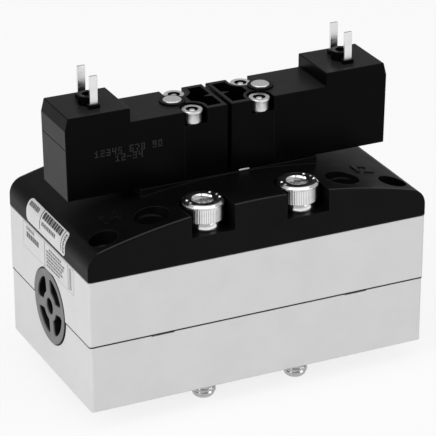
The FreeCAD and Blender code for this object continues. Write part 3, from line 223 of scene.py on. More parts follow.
def handling_effect():
    """Finger marks and settled dust: soft patches over the whole piece."""
    tree, given, result, where = start_effect(
        "Handling", [("Patch Size", 14.0), ("Cover", 0.5)], [("Mask", "NodeSocketFloat")])
    cloud = noise(tree, where, noise_scale(tree, given["Patch Size"]), 5.0, 0.65)
    level = maths(tree, "SUBTRACT", 1.0, given["Cover"])
    softer_below, softer_above = 0.12, 0.18
    low = maths(tree, "SUBTRACT", level, softer_below)
    high = maths(tree, "ADD", level, softer_above)
    feed(tree, result["Mask"], spread(tree, cloud, low, high))
    return tree


def tool_marks_effect():
    """Lines left by turning, drawing or rolling, long where the stretch is small."""
    tree, given, result, where = start_effect(
        "Tool marks", [("Line Size", 0.15), ("Stretch", (0.05, 0.05, 1.0))],
        [("Height", "NodeSocketFloat"), ("Tone", "NodeSocketFloat")])
    stretched = put(tree, "ShaderNodeVectorMath", {"operation": "MULTIPLY"})
    feed(tree, stretched.inputs[0], where)
    feed(tree, stretched.inputs[1], given["Stretch"])
    scale = noise_scale(tree, given["Line Size"])
    lines = noise(tree, stretched.outputs["Vector"], scale)
    broad = noise(tree, stretched.outputs["Vector"], product(tree, scale, 0.2), 2.0)
    feed(tree, result["Height"], lines)
    feed(tree, result["Tone"], weighed(tree, lines, broad, 0.5))
    return tree


GRAIN = moulded_grain_effect()
EDGES = worn_and_highlit_edges_effect()
HANDLING = handling_effect()
TOOL_MARKS = tool_marks_effect()


def effect(tree, group, **inputs):
    """One of the shared effects, placed in a material with its own values."""
    node = put(tree, "ShaderNodeGroup", {"node_tree": group})
    for name, value in inputs.items():
        node.inputs[name.replace("_", " ")].default_value = value
    return node.outputs


# Shades that follow the form of one kind of piece

def grey(level):
    return (level, level, level, 1.0)


def painted_plug_shade(tree, colour):
    """An end plug's colour with painted shade: near black deeper in its pockets, and a painted shadow where
    its rim lies in the bore's shadow.
    """
    shadow_y, shadow_z, shadow_radius = 0.45, SPOOL_HEIGHT - 0.25, 12.0
    away = maths(tree, "ADD", squared_from(tree, place_of(tree, "Y"), shadow_y),
                 squared_from(tree, place_of(tree, "Z"), shadow_z))
    in_shadow = past_radius(tree, away, shadow_radius - 0.05, shadow_radius + 0.05)
    # Painted shadow: a dark crescent round the rim's front and upper edge.
    shaded = blend_of(tree, in_shadow, colour, grey(0.003))
    outermost = past(tree, size_of(tree, place_of(tree, "X")), LENGTH_END - 0.65, LENGTH_END - 0.25)
    # Painted shade: everything below the plug's outer face is near black.
    return blend_of(tree, outermost, grey(0.006), shaded)


def painted_rim_highlight(tree, colour):
    """The cover's colour, with a painted highlight: paler along the upper edges of its long sides."""
    along_side = past(tree, size_of(tree, place_of(tree, "Y")), SIDE - 1.2, SIDE - 0.9)
    rim = product(tree, along_side, spread(tree, facing(tree, "Z"), 0.88, 0.97))
    past_recesses = past(tree, size_of(tree, place_of(tree, "X")), 25.0, 25.5)
    above_recesses = past(tree, place_of(tree, "Z"), MOUNT_SEAT + 1, MOUNT_SEAT + 2)
    arch = maths(tree, "MAXIMUM", past_recesses, above_recesses)
    # Painted highlight on the arched top next to its long edges.
    return blend_of(tree, product(tree, rim, arch), colour, grey(0.04))


def squared_from_screw(tree, pitch):
    """The squared distance from the nearest of four upright axes."""
    aside, across = [squared_from(tree, size_of(tree, place_of(tree, axis)), gap / 2)
                     for axis, gap in zip("XY", pitch)]
    return maths(tree, "ADD", aside, across)


def long_screw_shade(tree, colour):
    """A long screw's colour: greyer threads, knurl grooves darkened by dirt and painted shade, and socket
    walls in painted shade.
    """
    height, away = place_of(tree, "Z"), squared_from_screw(tree, MOUNT_PITCH)
    threads = blend_of(tree, past(tree, height, 1.0, 0.0), colour, grey(0.46))
    on_knurl = product(tree, past(tree, height, MOUNT_SEAT + 2.9, MOUNT_SEAT + 2.95),
                       past(tree, height, MOUNT_SEAT + 7.6, MOUNT_SEAT + 7.55))
    in_groove = product(tree, past_radius(tree, away, 6.44, 6.39), past_radius(tree, away, 6.0, 6.1))
    # The knurl's grooves darker: part dirt, part painted shade.
    groove_dirt_and_shade = blend_of(tree, product(tree, on_knurl, in_groove), threads, grey(0.30))
    in_socket = product(tree, past_radius(tree, away, 3.55, 3.5),
                        past(tree, height, MOUNT_TOP - 0.45, MOUNT_TOP - 0.55))
    in_head = past(tree, height, MOUNT_SEAT, MOUNT_SEAT + 1)
    # Painted shade on the socket's walls, darkest just below the mouth and paler towards the floor.
    deeper = past(tree, height, MOUNT_TOP - 0.6, MOUNT_TOP - 2.6)
    wall = blend_of(tree, deeper, grey(0.22), grey(0.80))
    return blend_of(tree, product(tree, in_socket, in_head), groove_dirt_and_shade, wall)


def flange_screw_shade(tree, colour):
    """A pilot screw's colour, with painted shade: black round the walls of its socket, and bright on its
    floor.
    """
    away = squared_from_screw(tree, PILOT_SCREW_PITCH)
    on_shaded_walls = product(tree, past_radius(tree, away, 1.02, 1.1), past_radius(tree, away, 2.0, 1.9))
    in_head = past(tree, place_of(tree, "Z"), PILOT_SCREW_SEAT + 2.5, PILOT_SCREW_SEAT + 2.6)
    # Painted shade: the socket's walls near black.
    return blend_of(tree, product(tree, on_shaded_walls, in_head), colour, grey(0.006))


def painted_top_and_end_sheen(tree, colour):
    """A black moulding's colour with a painted sheen: paler on the faces that look up, and a little on its
    outer ends.
    """
    out = size_of(tree, place_of(tree, "X"))
    away = maths(tree, "ADD", squared_from(tree, out, CONNECTOR_PLACE),
                 squared_from(tree, place_of(tree, "Y"), 0.0))
    off_boss = past_radius(tree, away, 3.0, 3.3)
    high_up = past(tree, place_of(tree, "Z"), 81.0, 81.5)
    upward = product(tree, spread(tree, facing(tree, "Z"), 0.9, 0.99), product(tree, off_boss, high_up))
    endways = product(tree, spread(tree, size_of(tree, facing(tree, "X")), 0.985, 0.999),
                      past(tree, out, 50.0, 51.0))
    # Painted sheen on the upward faces, kept off the connector boss.
    top_sheen = blend_of(tree, upward, colour, grey(0.016))
    # Painted sheen on the outer end faces.
    return blend_of(tree, endways, top_sheen, grey(0.03))


# Materials

def start_material(name, **constants):
    """A material with its shader, whose plain values are set on its own sockets."""
    material = bpy.data.materials.new(name)
    material.use_nodes = True
    shader = material.node_tree.nodes["Principled BSDF"]
    for label, value in constants.items():
        shader.inputs[label.replace("_", " ")].default_value = value
    return material, material.node_tree, shader.inputs


def relief(tree, height, normal, strength, depth):
    """A bump of a depth in millimetres over a softened normal."""
    return put(tree, "ShaderNodeBump", None, {
        "Strength": strength, "Distance": depth * MM, "Height": height,
        "Normal": normal}).outputs["Normal"]


def moulding(name, dark, light, edge, rough, gloss, grain=0.35, depth=0.012, edge_radius=0.25,
             edge_share=0.7, dust=0.0, dust_level=0.2, shade=None):
    """Moulded plastic, rubber or paint: grain, flow lines, worn edges with a painted highlight, and handling
    marks.
    """
    material, tree, shader = start_material(name, Specular_IOR_Level=gloss)
    skin = effect(tree, GRAIN, Grain_Size=grain)
    edge_wear_and_highlight = effect(tree, EDGES, Radius=edge_radius)
    marks = effect(tree, HANDLING)
    colour = blend_of(tree, spread(tree, skin["Tone"], 0.35, 0.65), grey(dark), grey(light))
    # Edges paler: part wear, part painted highlight.
    colour = blend_of(tree, product(tree, edge_wear_and_highlight["Edge"], edge_share), colour, grey(edge))
    if dust:
        colour = blend_of(tree, product(tree, marks["Mask"], dust), colour, grey(dust_level))
    feed(tree, shader["Base Color"], shade(tree, colour) if shade else colour)
    patchy = weighed(tree, skin["Tone"], marks["Mask"], 0.6)
    feed(tree, shader["Roughness"], spread(tree, patchy, 0.2, 0.8, *rough))
    feed(tree, shader["Normal"], relief(tree, skin["Height"], edge_wear_and_highlight["Normal"], 0.6, depth))
    return material


def worked_metal(name, dark, light, rough, line=0.12, stretch=(0.05, 0.05, 1.0), depth=0.006,
                 edge_radius=0.12, stain=0.12, shade=None):
    """Plated, turned or drawn metal: tool marks, a slight stain and bright edges, part wear and part painted
    highlight.
    """
    material, tree, shader = start_material(name, Metallic=1.0)
    lines = effect(tree, TOOL_MARKS, Line_Size=line, Stretch=stretch)
    edge_wear_and_highlight = effect(tree, EDGES, Radius=edge_radius, Patch_Size=1.5)
    marks = effect(tree, HANDLING, Patch_Size=5.0, Cover=0.42)
    colour = blend_of(tree, spread(tree, lines["Tone"], 0.3, 0.7), dark, light)
    colour = blend_of(tree, product(tree, marks["Mask"], stain), colour, grey(0.35))
    # Edges brighter: part wear, part painted highlight.
    colour = blend_of(tree, product(tree, edge_wear_and_highlight["Edge"], 0.5), colour, light)
    feed(tree, shader["Base Color"], shade(tree, colour) if shade else colour)
    patchy = weighed(tree, lines["Tone"], marks["Mask"], 0.55)
    feed(tree, shader["Roughness"], spread(tree, patchy, 0.2, 0.8, *rough))
    feed(tree, shader["Normal"], relief(tree, lines["Height"], edge_wear_and_highlight["Normal"], 0.5, depth))
    return material


FINISHES = {
    "light_grey_paint": moulding(
        "light grey paint", 0.65, 0.68, 0.72, rough=(0.46, 0.58), gloss=0.22, grain=0.5, depth=0.006,
        edge_radius=0.3, edge_share=0.35, dust=0.06, dust_level=0.60),
    "black_cover": moulding(
        "black glass-filled nylon", 0.0018, 0.0030, 0.035, rough=(0.34, 0.46), gloss=0.075, grain=0.3,
        edge_radius=0.3, edge_share=0.6, dust=0.25, dust_level=0.004, shade=painted_rim_highlight),
    "black_plastic": moulding(
        "black moulding", 0.0004, 0.0010, 0.026, rough=(0.30, 0.42), gloss=0.05, grain=0.3, depth=0.008,
        edge_radius=0.2, dust=0.25, dust_level=0.0016, shade=painted_top_and_end_sheen),
    "grey_plastic": moulding(
        "grey moulding", 0.15, 0.19, 0.30, rough=(0.42, 0.56), gloss=0.25, grain=0.3, depth=0.010,
        edge_radius=0.2, edge_share=0.5, dust=0.15, dust_level=0.13, shade=painted_plug_shade),
    "white_plastic": moulding("white moulding", 0.72, 0.80, 0.85, rough=(0.4, 0.5), gloss=0.4),
    "black_rubber": moulding(
        "black rubber", 0.006, 0.012, 0.02, rough=(0.6, 0.8), gloss=0.15, grain=0.25, depth=0.02,
        edge_radius=0.1, edge_share=0.4, dust=0.3, dust_level=0.02),
    "pale_rubber": moulding(
        "pale rubber", 0.62, 0.72, 0.78, rough=(0.55, 0.7), gloss=0.3, grain=0.25, depth=0.02,
        edge_radius=0.1, edge_share=0.4, dust=0.2, dust_level=0.5),
    "bright_zinc": worked_metal("bright zinc plate", grey(0.74), grey(0.88), (0.24, 0.36), edge_radius=0.06),
    "tinned_metal": worked_metal(
        "tinned blades", grey(0.74), grey(0.86), (0.2, 0.3), line=0.1, stretch=(1.0, 1.0, 0.04), depth=0.002),
    "dark_steel": worked_metal("dark steel", grey(0.05), grey(0.10), (0.34, 0.5)),
    "spring_steel": worked_metal(
        "spring wire", grey(0.42), grey(0.55), (0.25, 0.4), line=0.08, stretch=(1.0, 1.0, 1.0)),
    "aluminium": worked_metal(
        "turned aluminium", grey(0.66), grey(0.78), (0.3, 0.42), stretch=(1.0, 0.05, 0.05)),
    "copper": worked_metal(
        "enamelled winding", (0.45, 0.16, 0.06, 1), (0.62, 0.26, 0.12, 1), (0.3, 0.4),
        line=0.2, stretch=(1.0, 0.03, 0.03), depth=0.03),
    "brass": worked_metal("turned brass", (0.52, 0.36, 0.12, 1), (0.68, 0.50, 0.20, 1), (0.25, 0.38)),
}
LONG_SCREW_ZINC = worked_metal(
    "zinc on the long screws", grey(0.76), grey(0.90), (0.16, 0.26), edge_radius=0.05, shade=long_screw_shade)
FLANGE_SCREW_ZINC = worked_metal(
    "zinc on the pilot screws", grey(0.74), grey(0.86), (0.38, 0.46), line=0.3, depth=0.002,
    edge_radius=0.05, stain=0.05, shade=flange_screw_shade)
# Black oxide, made darker still as painted shade for screws deep in their holes.
BLACKENED_SCREW_IN_SHADE = worked_metal("blackened cover screws in painted shade", grey(0.010), grey(0.024), (0.45, 0.6))
BUTTON_ZINC = worked_metal(
    "zinc on the buttons", grey(0.70), grey(0.80), (0.42, 0.52), line=0.25, stretch=(1.0, 1.0, 1.0),
    depth=0.004, edge_radius=0.2)
DEEP_BLACK = moulding(
    "black of the small turned parts", 0.0008, 0.0016, 0.02, rough=(0.34, 0.46), gloss=0.08, grain=0.3,
    depth=0.008, edge_radius=0.15, edge_share=0.6)


def label_foil():
    """Silver-grey label stock with a faint roll grain."""
    material, tree, shader = start_material("label foil", Metallic=0.35, Specular_IOR_Level=0.4)
    lines = effect(tree, TOOL_MARKS, Line_Size=0.1, Stretch=(1.0, 0.05, 1.0))
    marks = effect(tree, HANDLING, Patch_Size=7.0, Cover=0.45)
    colour = blend_of(tree, lines["Tone"], grey(0.60), grey(0.72))
    colour = blend_of(tree, product(tree, marks["Mask"], 0.15), colour, grey(0.5))
    feed(tree, shader["Base Color"], colour)
    feed(tree, shader["Roughness"], spread(tree, marks["Mask"], 0.0, 1.0, 0.34, 0.46))
    feed(tree, shader["Normal"], relief(tree, lines["Height"], normal_of(tree), 0.3, 0.004))
    return material


def printed_ink(name, level):
    """Dark print, thinner in patches."""
    material, tree, shader = start_material(name, Specular_IOR_Level=0.3)
    skin = effect(tree, GRAIN, Grain_Size=0.15, Flow_Size=2.0)
    colour = blend_of(tree, spread(tree, skin["Tone"], 0.35, 0.65), grey(level), grey(level + 0.03))
    feed(tree, shader["Base Color"], colour)
    feed(tree, shader["Roughness"], spread(tree, skin["Tone"], 0.3, 0.7, 0.45, 0.6))
    return material


FOIL = label_foil()
DARK_PRINT = printed_ink("dark print", 0.03)
MID_PRINT = printed_ink("grey print", 0.11)
FAINT_PRINT = printed_ink("faint print", 0.17)
PALE_PRINT = printed_ink("pale print", 0.40)
WORN_DOTS = printed_ink("worn dot print", 0.012)


# Mesh work

def coat(piece, material):
    """Gives every place of a piece's material list the same finish."""
    if not piece.material_slots:
        piece.data.materials.append(material)
    for place in piece.material_slots:
        place.material = material


def piece_of(name, data):
    """An object at the origin, in the scene."""
    piece = bpy.data.objects.new(name, data)
    bpy.context.scene.collection.objects.link(piece)
    return piece


def settle(piece, slot, material, *stands_for):
    """The last words on a finished piece: its finish, its body and what it stands for; its slot is not used.
    """
    coat(piece, material)
    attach(piece, VALVE)
    if stands_for:
        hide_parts(*stands_for)


def mesh_from(name, points, faces):
    """A mesh from points in millimetres, its faces outwards, smooth apart from its real edges."""
    mesh = bpy.data.meshes.new(name)
    mesh.from_pydata([Vector(point) * MM for point in points], [], faces)
    work = bmesh.new()
    work.from_mesh(mesh)
    bmesh.ops.recalc_face_normals(work, faces=work.faces)
    for face in work.faces:
        face.smooth = True
    work.to_mesh(mesh)
    work.free()
    mesh.set_sharp_from_angle(angle=SHARP_ANGLE)
    return mesh


def strip_faces(start, segments=1):
    """The faces of a closed four-sided strip whose rows of four corners start at an index."""
    faces = []
    for row in range(start, start + 4 * segments, 4):
        for side in range(4):
            after = (side + 1) % 4
            faces.append((row + side, row + after, row + 4 + after, row + 4 + side))
    last = start + 4 * segments
    return faces + [tuple(range(start, start + 4)), tuple(range(last, last + 4))]


def mark_points(angle, radius, top):
    """The corners of a small blunt pyramid, sunk a little into the flat top of a head."""
    half, tip_share, sunk, rise = 0.55, 0.25, 0.1, 0.3
    out = Vector((math.cos(angle), math.sin(angle), 0))
    along = Vector((-math.sin(angle), math.cos(angle), 0))
    points = []
    for height, share in ((top - sunk, 1.0), (top + rise, tip_share)):
        for outward, sideways in ((-half, -half), (half, -half), (half, half), (-half, half)):
            spot = out * (radius + outward * share) + along * sideways * share
            points.append((spot.x, spot.y, height))
    return points


def turned_body(name, profile, sides, marks=()):
    """A closed body turned about Z from rings of a radius, a height and perhaps a form.

    A form gives a ring's reach at an angle and a height, as a share of its radius. Each mark is
    the eight corners of a small block on the body."""
    points, faces = [], []
    for mark in marks:
        faces += strip_faces(len(points))
        points += mark
    first = len(points)
    for radius, height, *form in profile:
        for step in range(sides):
            angle = 2 * math.pi * step / sides
            reach = radius * form[0](angle, height) if form else radius
            points.append((reach * math.cos(angle), reach * math.sin(angle), height))
    for level in range(len(profile) - 1):
        row = first + level * sides
        for step in range(sides):
            after = (step + 1) % sides
            faces.append((row + step, row + after, row + sides + after, row + sides + step))
    for level in (0, len(profile) - 1):
        pole, row = len(points), first + level * sides
        points.append((0, 0, profile[level][1]))
        faces += [(pole, row + step, row + (step + 1) % sides) for step in range(sides)]
    return mesh_from(name, points, faces)


def hexagon(angle, height):
    """How far a hexagon of unit half width reaches at an angle."""
    return 1 / math.cos((angle - SOCKET_TURN) % (math.pi / 3) - math.pi / 6)


def knurl(count, depth):
    """A head's narrow grooves."""
    return lambda angle, height: 1 - depth * max(0.0, math.cos(count * angle))


def thread(pitch, depth, radius):
    """A right-handed thread."""
    def share(angle, height):
        phase = (height / pitch - angle / (2 * math.pi)) % 1
        return 1 - depth / radius * abs(2 * phase - 1)
    return share


def corner_pattern_tree():
    """Geometry nodes that set one piece at four corners, in a front pair and a rear pair."""
    tree = bpy.data.node_groups.new("Four corners", "GeometryNodeTree")
    face = tree.interface
    face.new_socket(name="Piece", in_out="INPUT", socket_type="NodeSocketGeometry")
    for label in ("Front", "Rear", "Across"):
        face.new_socket(name=label, in_out="INPUT", socket_type="NodeSocketFloat")
    face.new_socket(name="Finish", in_out="INPUT", socket_type="NodeSocketMaterial")
    face.new_socket(name="Pieces", in_out="OUTPUT", socket_type="NodeSocketGeometry")
    given = tree.nodes.new("NodeGroupInput").outputs
    pairs = tree.nodes.new("GeometryNodeJoinGeometry")
    for label, way in (("Front", -0.5), ("Rear", 0.5)):
        start = put(tree, "ShaderNodeCombineXYZ", None, {
            "X": product(tree, given[label], -0.5), "Y": product(tree, given["Across"], way)})
        step = put(tree, "ShaderNodeCombineXYZ", None, {"X": given[label]})
        pair = put(tree, "GeometryNodeMeshLine", None, {
            "Count": 2, "Start Location": start.outputs[0], "Offset": step.outputs[0]})
        feed(tree, pairs.inputs["Geometry"], pair.outputs["Mesh"])
    copies = put(tree, "GeometryNodeInstanceOnPoints", None, {
        "Points": pairs.outputs["Geometry"], "Instance": given["Piece"]})
    whole = put(tree, "GeometryNodeRealizeInstances", None, {"Geometry": copies.outputs["Instances"]})
    finished = put(tree, "GeometryNodeSetMaterial", None, {
        "Geometry": whole.outputs["Geometry"], "Material": given["Finish"]})
    feed(tree, tree.nodes.new("NodeGroupOutput").inputs["Pieces"], finished.outputs["Geometry"])
    return tree


def evaluated_mesh(item):
    """A plain mesh of what an object shows."""
    view = bpy.context.evaluated_depsgraph_get()
    return bpy.data.meshes.new_from_object(item.evaluated_get(view))


def grow(piece, tree, **inputs):
    """Runs a geometry node tree on a piece and leaves its result as a plain mesh."""
    modifier = piece.modifiers.new("grow", "NODES")
    modifier.node_group = tree
    for item in tree.interface.items_tree:
        if item.in_out == "INPUT" and item.name in inputs:
            modifier[item.identifier] = inputs[item.name]
    mesh = evaluated_mesh(piece)
    piece.modifiers.remove(modifier)
    piece.data = mesh


FOUR_CORNERS = corner_pattern_tree()


def four_screws(name, mesh, pitch, rear_pitch, slot, finish, stands_for):
    """One screw set at the four corners of its pattern."""
    screws = piece_of(name, mesh)
    grow(screws, FOUR_CORNERS, Front=pitch[0] * MM, Rear=rear_pitch * MM, Across=pitch[1] * MM,
         Finish=finish)
    settle(screws, slot, finish, stands_for)


# Screws

def mounting_screw():
    """An M8 socket head screw: threaded end, bearing collar, knurled head, rim and hex socket."""
    root, tip, seat, top = 4.0, FLOOR_LEVEL, MOUNT_SEAT, MOUNT_TOP
    rings, first_ring, rise, run_in, taper = 30, 1.2, 0.19, 5, 0.4
    ridges, ridge_depth = 72, 0.010
    form, grooves = thread(1.25, 0.28, root), knurl(ridges, ridge_depth)
    rows = [(2.2, tip), (2.9, tip + 0.3), (3.4, tip + 0.85)]
    for ring in range(rings):
        rows.append((root - taper * max(0.0, 1 - ring / run_in), tip + first_ring + rise * ring, form))
    rows += [(3.9, 0.3), (3.9, seat)]
    rows += [(5.5, seat), (5.74, seat + 0.15), (5.76, seat + 0.6), (5.68, seat + 1.3)]
    rows += [(5.5, seat + 2.1), (5.25, seat + 2.75), (6.2, seat + 2.8)]
    rows += [(6.45, seat + 3.0, grooves), (6.45, seat + 7.55, grooves)]
    rows += [(6.25, seat + 7.6), (6.25, seat + 7.8), (6.45, seat + 7.86)]
    rows += [(6.5, top - 0.8), (6.47, top - 0.66), (5.9, top - 0.08), (5.76, top)]
    rows += [(3.66, top), (3.56, top - 0.05)]
    rows += [(3.06, top - 0.5, hexagon), (3.0, top - 0.6, hexagon), (3.0, top - 3.9, hexagon)]
    rows += [(2.6, top - 4.1), (1.2, top - 4.7)]
    mark_radius, mark_angles = 5.15, (172, 196, 40, 14, -10)
    marks = [mark_points(math.radians(angle), mark_radius, top) for angle in mark_angles]
    return turned_body("mounting_screw", rows, 4 * ridges, marks)


def pilot_screw():
    """A small screw with a thick neck, a thin flange and a shallow hex socket with a domed floor."""
    seat = PILOT_SCREW_SEAT
    rows = [(1.3, seat - 3.0), (1.5, seat - 2.8), (1.5, seat)]
    rows += [(2.7, seat), (2.85, seat + 0.15), (2.85, seat + 3.3), (2.9, seat + 3.4)]
    rows += [(3.15, seat + 3.4), (3.3, seat + 3.5), (3.3, seat + 3.9), (3.15, seat + 4.1)]
    rows += [(2.0, seat + 4.1), (1.85, seat + 4.0), (1.75, seat + 3.65)]
    rows += [(1.3, seat + 3.6, hexagon), (1.25, seat + 3.5, hexagon), (1.22, seat + 3.35, hexagon)]
    rows += [(1.08, seat + 3.33), (0.98, seat + 3.65), (0.8, seat + 3.82), (0.4, seat + 3.92)]
    return turned_body("pilot_screw", rows, 96)


def cover_screw():
    """An M5 socket head screw deep in its hole, with a knurled head."""
    seat, grooves = COVER_SCREW_SEAT, knurl(36, 0.04)
    rows = [(1.6, 8.0), (2.4, 8.8), (2.5, 9.2), (2.5, seat), (3.9, seat)]
    rows += [(4.05, seat + 0.2, grooves), (4.05, seat + 3.4, grooves), (3.9, seat + 3.6)]
    rows += [(3.6, seat + 3.95), (3.4, seat + 4.0), (2.55, seat + 4.0)]
    rows += [(2.1, seat + 3.75, hexagon), (2.0, seat + 3.6, hexagon), (2.0, seat + 1.4, hexagon)]
    rows += [(1.0, seat + 1.0)]
    return turned_body("cover_screw", rows, 144)


four_screws("socket_head_screws", mounting_screw(), MOUNT_PITCH, MOUNT_PITCH[0],
            "bright_zinc", LONG_SCREW_ZINC, "mounting_screws")
four_screws("flange_head_screws", pilot_screw(), PILOT_SCREW_PITCH, PILOT_SCREW_PITCH[0],
            "bright_zinc", FLANGE_SCREW_ZINC, "pilot_screws")
four_screws("sunk_cover_screws", cover_screw(), COVER_SCREW_PITCH, REAR_COVER_SCREW_PITCH,
            "dark_steel", BLACKENED_SCREW_IN_SHADE, "cover_screws")


# The joint between the housing halves

PLUG_EDGE = 12.5
JOINT_HALF_HEIGHT = 0.22
JOINT_DEPTH = 0.9
JOINT_CORNER = 0.9
JOINT_INSET = 0.06


def joint_band(name, side):
    """The joint's dark edge along one long face and round its corners, up to the end plugs: the black gasket
    brought out flush with the housing, which also stands for painted shade in the gap between the halves.
    """
    reach, across, steps = LENGTH_END - JOINT_INSET, SIDE - JOINT_INSET, 6
    path = [(-reach, PLUG_EDGE, -1, 0)]
    for way in (-1, 1):
        for step in range(steps + 1):
            angle = math.pi / 2 * (step if way < 0 else steps - step) / steps
            out, along = way * math.cos(angle), math.sin(angle)
            path.append((way * (reach - JOINT_CORNER) + JOINT_CORNER * out,
                         across - JOINT_CORNER + JOINT_CORNER * along, out, along))
    path.append((reach, PLUG_EDGE, 1, 0))
    section = [(0, -JOINT_HALF_HEIGHT), (0, JOINT_HALF_HEIGHT),
               (JOINT_DEPTH, JOINT_HALF_HEIGHT), (JOINT_DEPTH, -JOINT_HALF_HEIGHT)]
    points = [(x - inset * out, side * (y - inset * along), SPOOL_HEIGHT + height)
              for x, y, out, along in path for inset, height in section]
    # A dark sheet: part the black gasket, part painted shade in the joint.
    band = piece_of(name, mesh_from(name, points, strip_faces(0, len(path) - 1)))
    settle(band, "black_rubber", FINISHES["black_rubber"])


joint_band("front_joint_edge", -1)
joint_band("rear_joint_edge", 1)


# Labels

BAR_LIFT = 0.13
BAR_THICKNESS = 0.06
BAR_STEP = 0.4
LOWER_STOCK = 0.07
LOWER_BAR_LIFT = 0.09


def cover_end_point(run, lift):
    """A point on the cover's left end, a run in millimetres up from its base and a lift off the skin."""
    corner_x = COVER_CORNER - LENGTH_END
    corner_z = COVER_ARC_CENTRE + math.sqrt((COVER_ARC - COVER_CORNER) ** 2 - corner_x ** 2)
    upright = corner_z - COVER_BASE
    last = math.atan2(corner_z - COVER_ARC_CENTRE, corner_x)
    bend = COVER_CORNER * (math.pi - last)
    if run <= upright:
        return -LENGTH_END - lift, COVER_BASE + run
    if run <= upright + bend:
        angle = math.pi - (run - upright) / COVER_CORNER
        reach = COVER_CORNER + lift
        return corner_x + reach * math.cos(angle), corner_z + reach * math.sin(angle)
    angle = last - (run - upright - bend) / COVER_ARC
    reach = COVER_ARC + lift
    return reach * math.cos(angle), COVER_ARC_CENTRE + reach * math.sin(angle)


def on_cover_end(across, run, lift):
    x, z = cover_end_point(run, lift)
    return x, across, z


def on_housing_end(across, run, lift):
    return -LENGTH_END - lift, across, run


def rounded_rows(low, high, radius):
    """Heights of a rounded rectangle's rows, each with how far its ends are drawn in."""
    corner_steps, middle_steps = 6, 8
    rows = []
    for step in range(corner_steps + 1):
        angle = math.pi / 2 * step / corner_steps
        rows.append((low + radius * (1 - math.sin(angle)), radius * (1 - math.cos(angle))))
    rows.reverse()
    straight = high - low - 2 * radius
    middle = [(low + radius + straight * step / middle_steps, 0.0) for step in range(1, middle_steps)]
    top = [(high + low - height, inset) for height, inset in reversed(rows)]
    return rows + middle + top


def sticker(name, on_skin, across, run, radius, thick=0.09, sunk=0.03):
    """A thin label with rounded corners, wrapped on a skin, as one closed sheet."""
    columns = 24
    rows = rounded_rows(run[0], run[1], radius)
    points, faces = [], []
    for lift in (thick, -sunk):
        for height, inset in rows:
            for column in range(columns + 1):
                share = column / columns
                place = across[0] + inset + (across[1] - across[0] - 2 * inset) * share
                points.append(on_skin(place, height, lift))
    width = columns + 1
    layer = width * len(rows)

    def index(level, row, column):
        return level * layer + row * width + column

    for row in range(len(rows) - 1):
        for column in range(columns):
            for level in (0, 1):
                faces.append((index(level, row, column), index(level, row, column + 1),
                              index(level, row + 1, column + 1), index(level, row + 1, column)))
        for column in (0, columns):
            faces.append((index(0, row, column), index(0, row + 1, column),
                          index(1, row + 1, column), index(1, row, column)))
    for row in (0, len(rows) - 1):
        for column in range(columns):
            faces.append((index(0, row, column), index(0, row, column + 1),
                          index(1, row, column + 1), index(1, row, column)))
    return piece_of(name, mesh_from(name, points, faces))


def printed_bars(name, on_skin, bars, lift=BAR_LIFT):
    """Plain bars of print on a label, each a thin closed strip bent to the skin."""
    points, faces = [], []
    for across_low, run_low, across_high, run_high in bars:
        steps = max(2, round((run_high - run_low) / BAR_STEP))
        faces += strip_faces(len(points), steps)
        under = lift - BAR_THICKNESS
        section = ((across_low, lift), (across_high, lift), (across_high, under), (across_low, under))
        for step in range(steps + 1):
            run = run_low + (run_high - run_low) * step / steps
            points += [on_skin(place, run, height) for place, height in section]
    return piece_of(name, mesh_from(name, points, faces))


def dashes(start, lengths, gap, low, high):
    """A row of bars of given lengths, running towards the front."""
    bars = []
    place = start
    for length in lengths:
        bars.append((place - length, low, place, high))
        place -= length + gap
    return bars


def frame_lines(across, run, thick):
    """A thin outline of a field."""
    low, high = across
    base, top = run
    return [(low, base, high, base + thick), (low, top - thick, high, top),
            (low, base, low + thick, top), (high - thick, base, high, top)]


# Each bar is two corners, a place across the end and a run up it each, in millimetres
settle(sticker("upper_label", on_cover_end, (-13.9, 17.0), (0.8, 8.6), 1.6), "aluminium", FOIL)
bold_bars = dashes(5.0, (1.5, 1.3, 1.1, 1.5, 0.5, 1.4, 1.1, 1.5, 0.6, 1.3), 0.3, 6.0, 8.2)
bold_bars += [(5.9, 2.0, 6.25, 8.6), (-11.0, 2.0, -10.7, 8.6)]
bold_bars += [(-13.2 + 0.3 * (step % 2), 1.9 + 0.68 * step, -12.0, 2.3 + 0.68 * step) for step in range(9)]
settle(printed_bars("upper_label_print", on_cover_end, bold_bars), "black_plastic", DARK_PRINT)
fine_bars = dashes(15.8, (1.2, 0.9, 1.2, 0.8, 1.3, 0.8), 0.2, 6.2, 7.7)
fine_bars += dashes(4.6, (0.9, 0.7, 1.0, 0.6, 0.9, 1.1, 0.8, 1.0, 0.9), 0.35, 3.8, 5.1)
settle(printed_bars("upper_label_fine_print", on_cover_end, fine_bars), "black_plastic", MID_PRINT)

settle(sticker("lower_label", on_housing_end, (-20.6, 20.6), (34.0, 43.1), 1.4, LOWER_STOCK),
       "aluminium", FOIL)
lower_bars = dashes(17.4, (1.6, 1.2, 1.7, 1.4, 1.3, 1.5), 0.25, 38.5, 40.4)
settle(printed_bars("lower_label_print", on_housing_end, lower_bars, LOWER_BAR_LIFT),
       "black_plastic", MID_PRINT)
small_bars = dashes(17.4, (0.9, 0.7, 1.0, 0.8, 0.6, 0.9), 0.3, 41.1, 42.2)
small_rows = [(-1.0, (1.4, 1.1, 1.6, 1.2, 1.7, 1.3)), (1.2, (1.4, 1.9, 1.1, 2.2, 1.2, 1.5, 1.1, 1.8)),
              (1.2, (1.6, 1.2, 1.6, 1.1, 1.8, 1.0, 1.2, 2.1)), (1.2, (1.1, 2.0, 1.7, 1.3, 1.4, 1.2, 1.9)),
              (1.2, (1.9, 1.3, 1.2, 2.1, 1.5, 1.4, 1.6)), (1.2, (1.2, 1.6, 2.0, 1.1, 1.7, 1.3))]
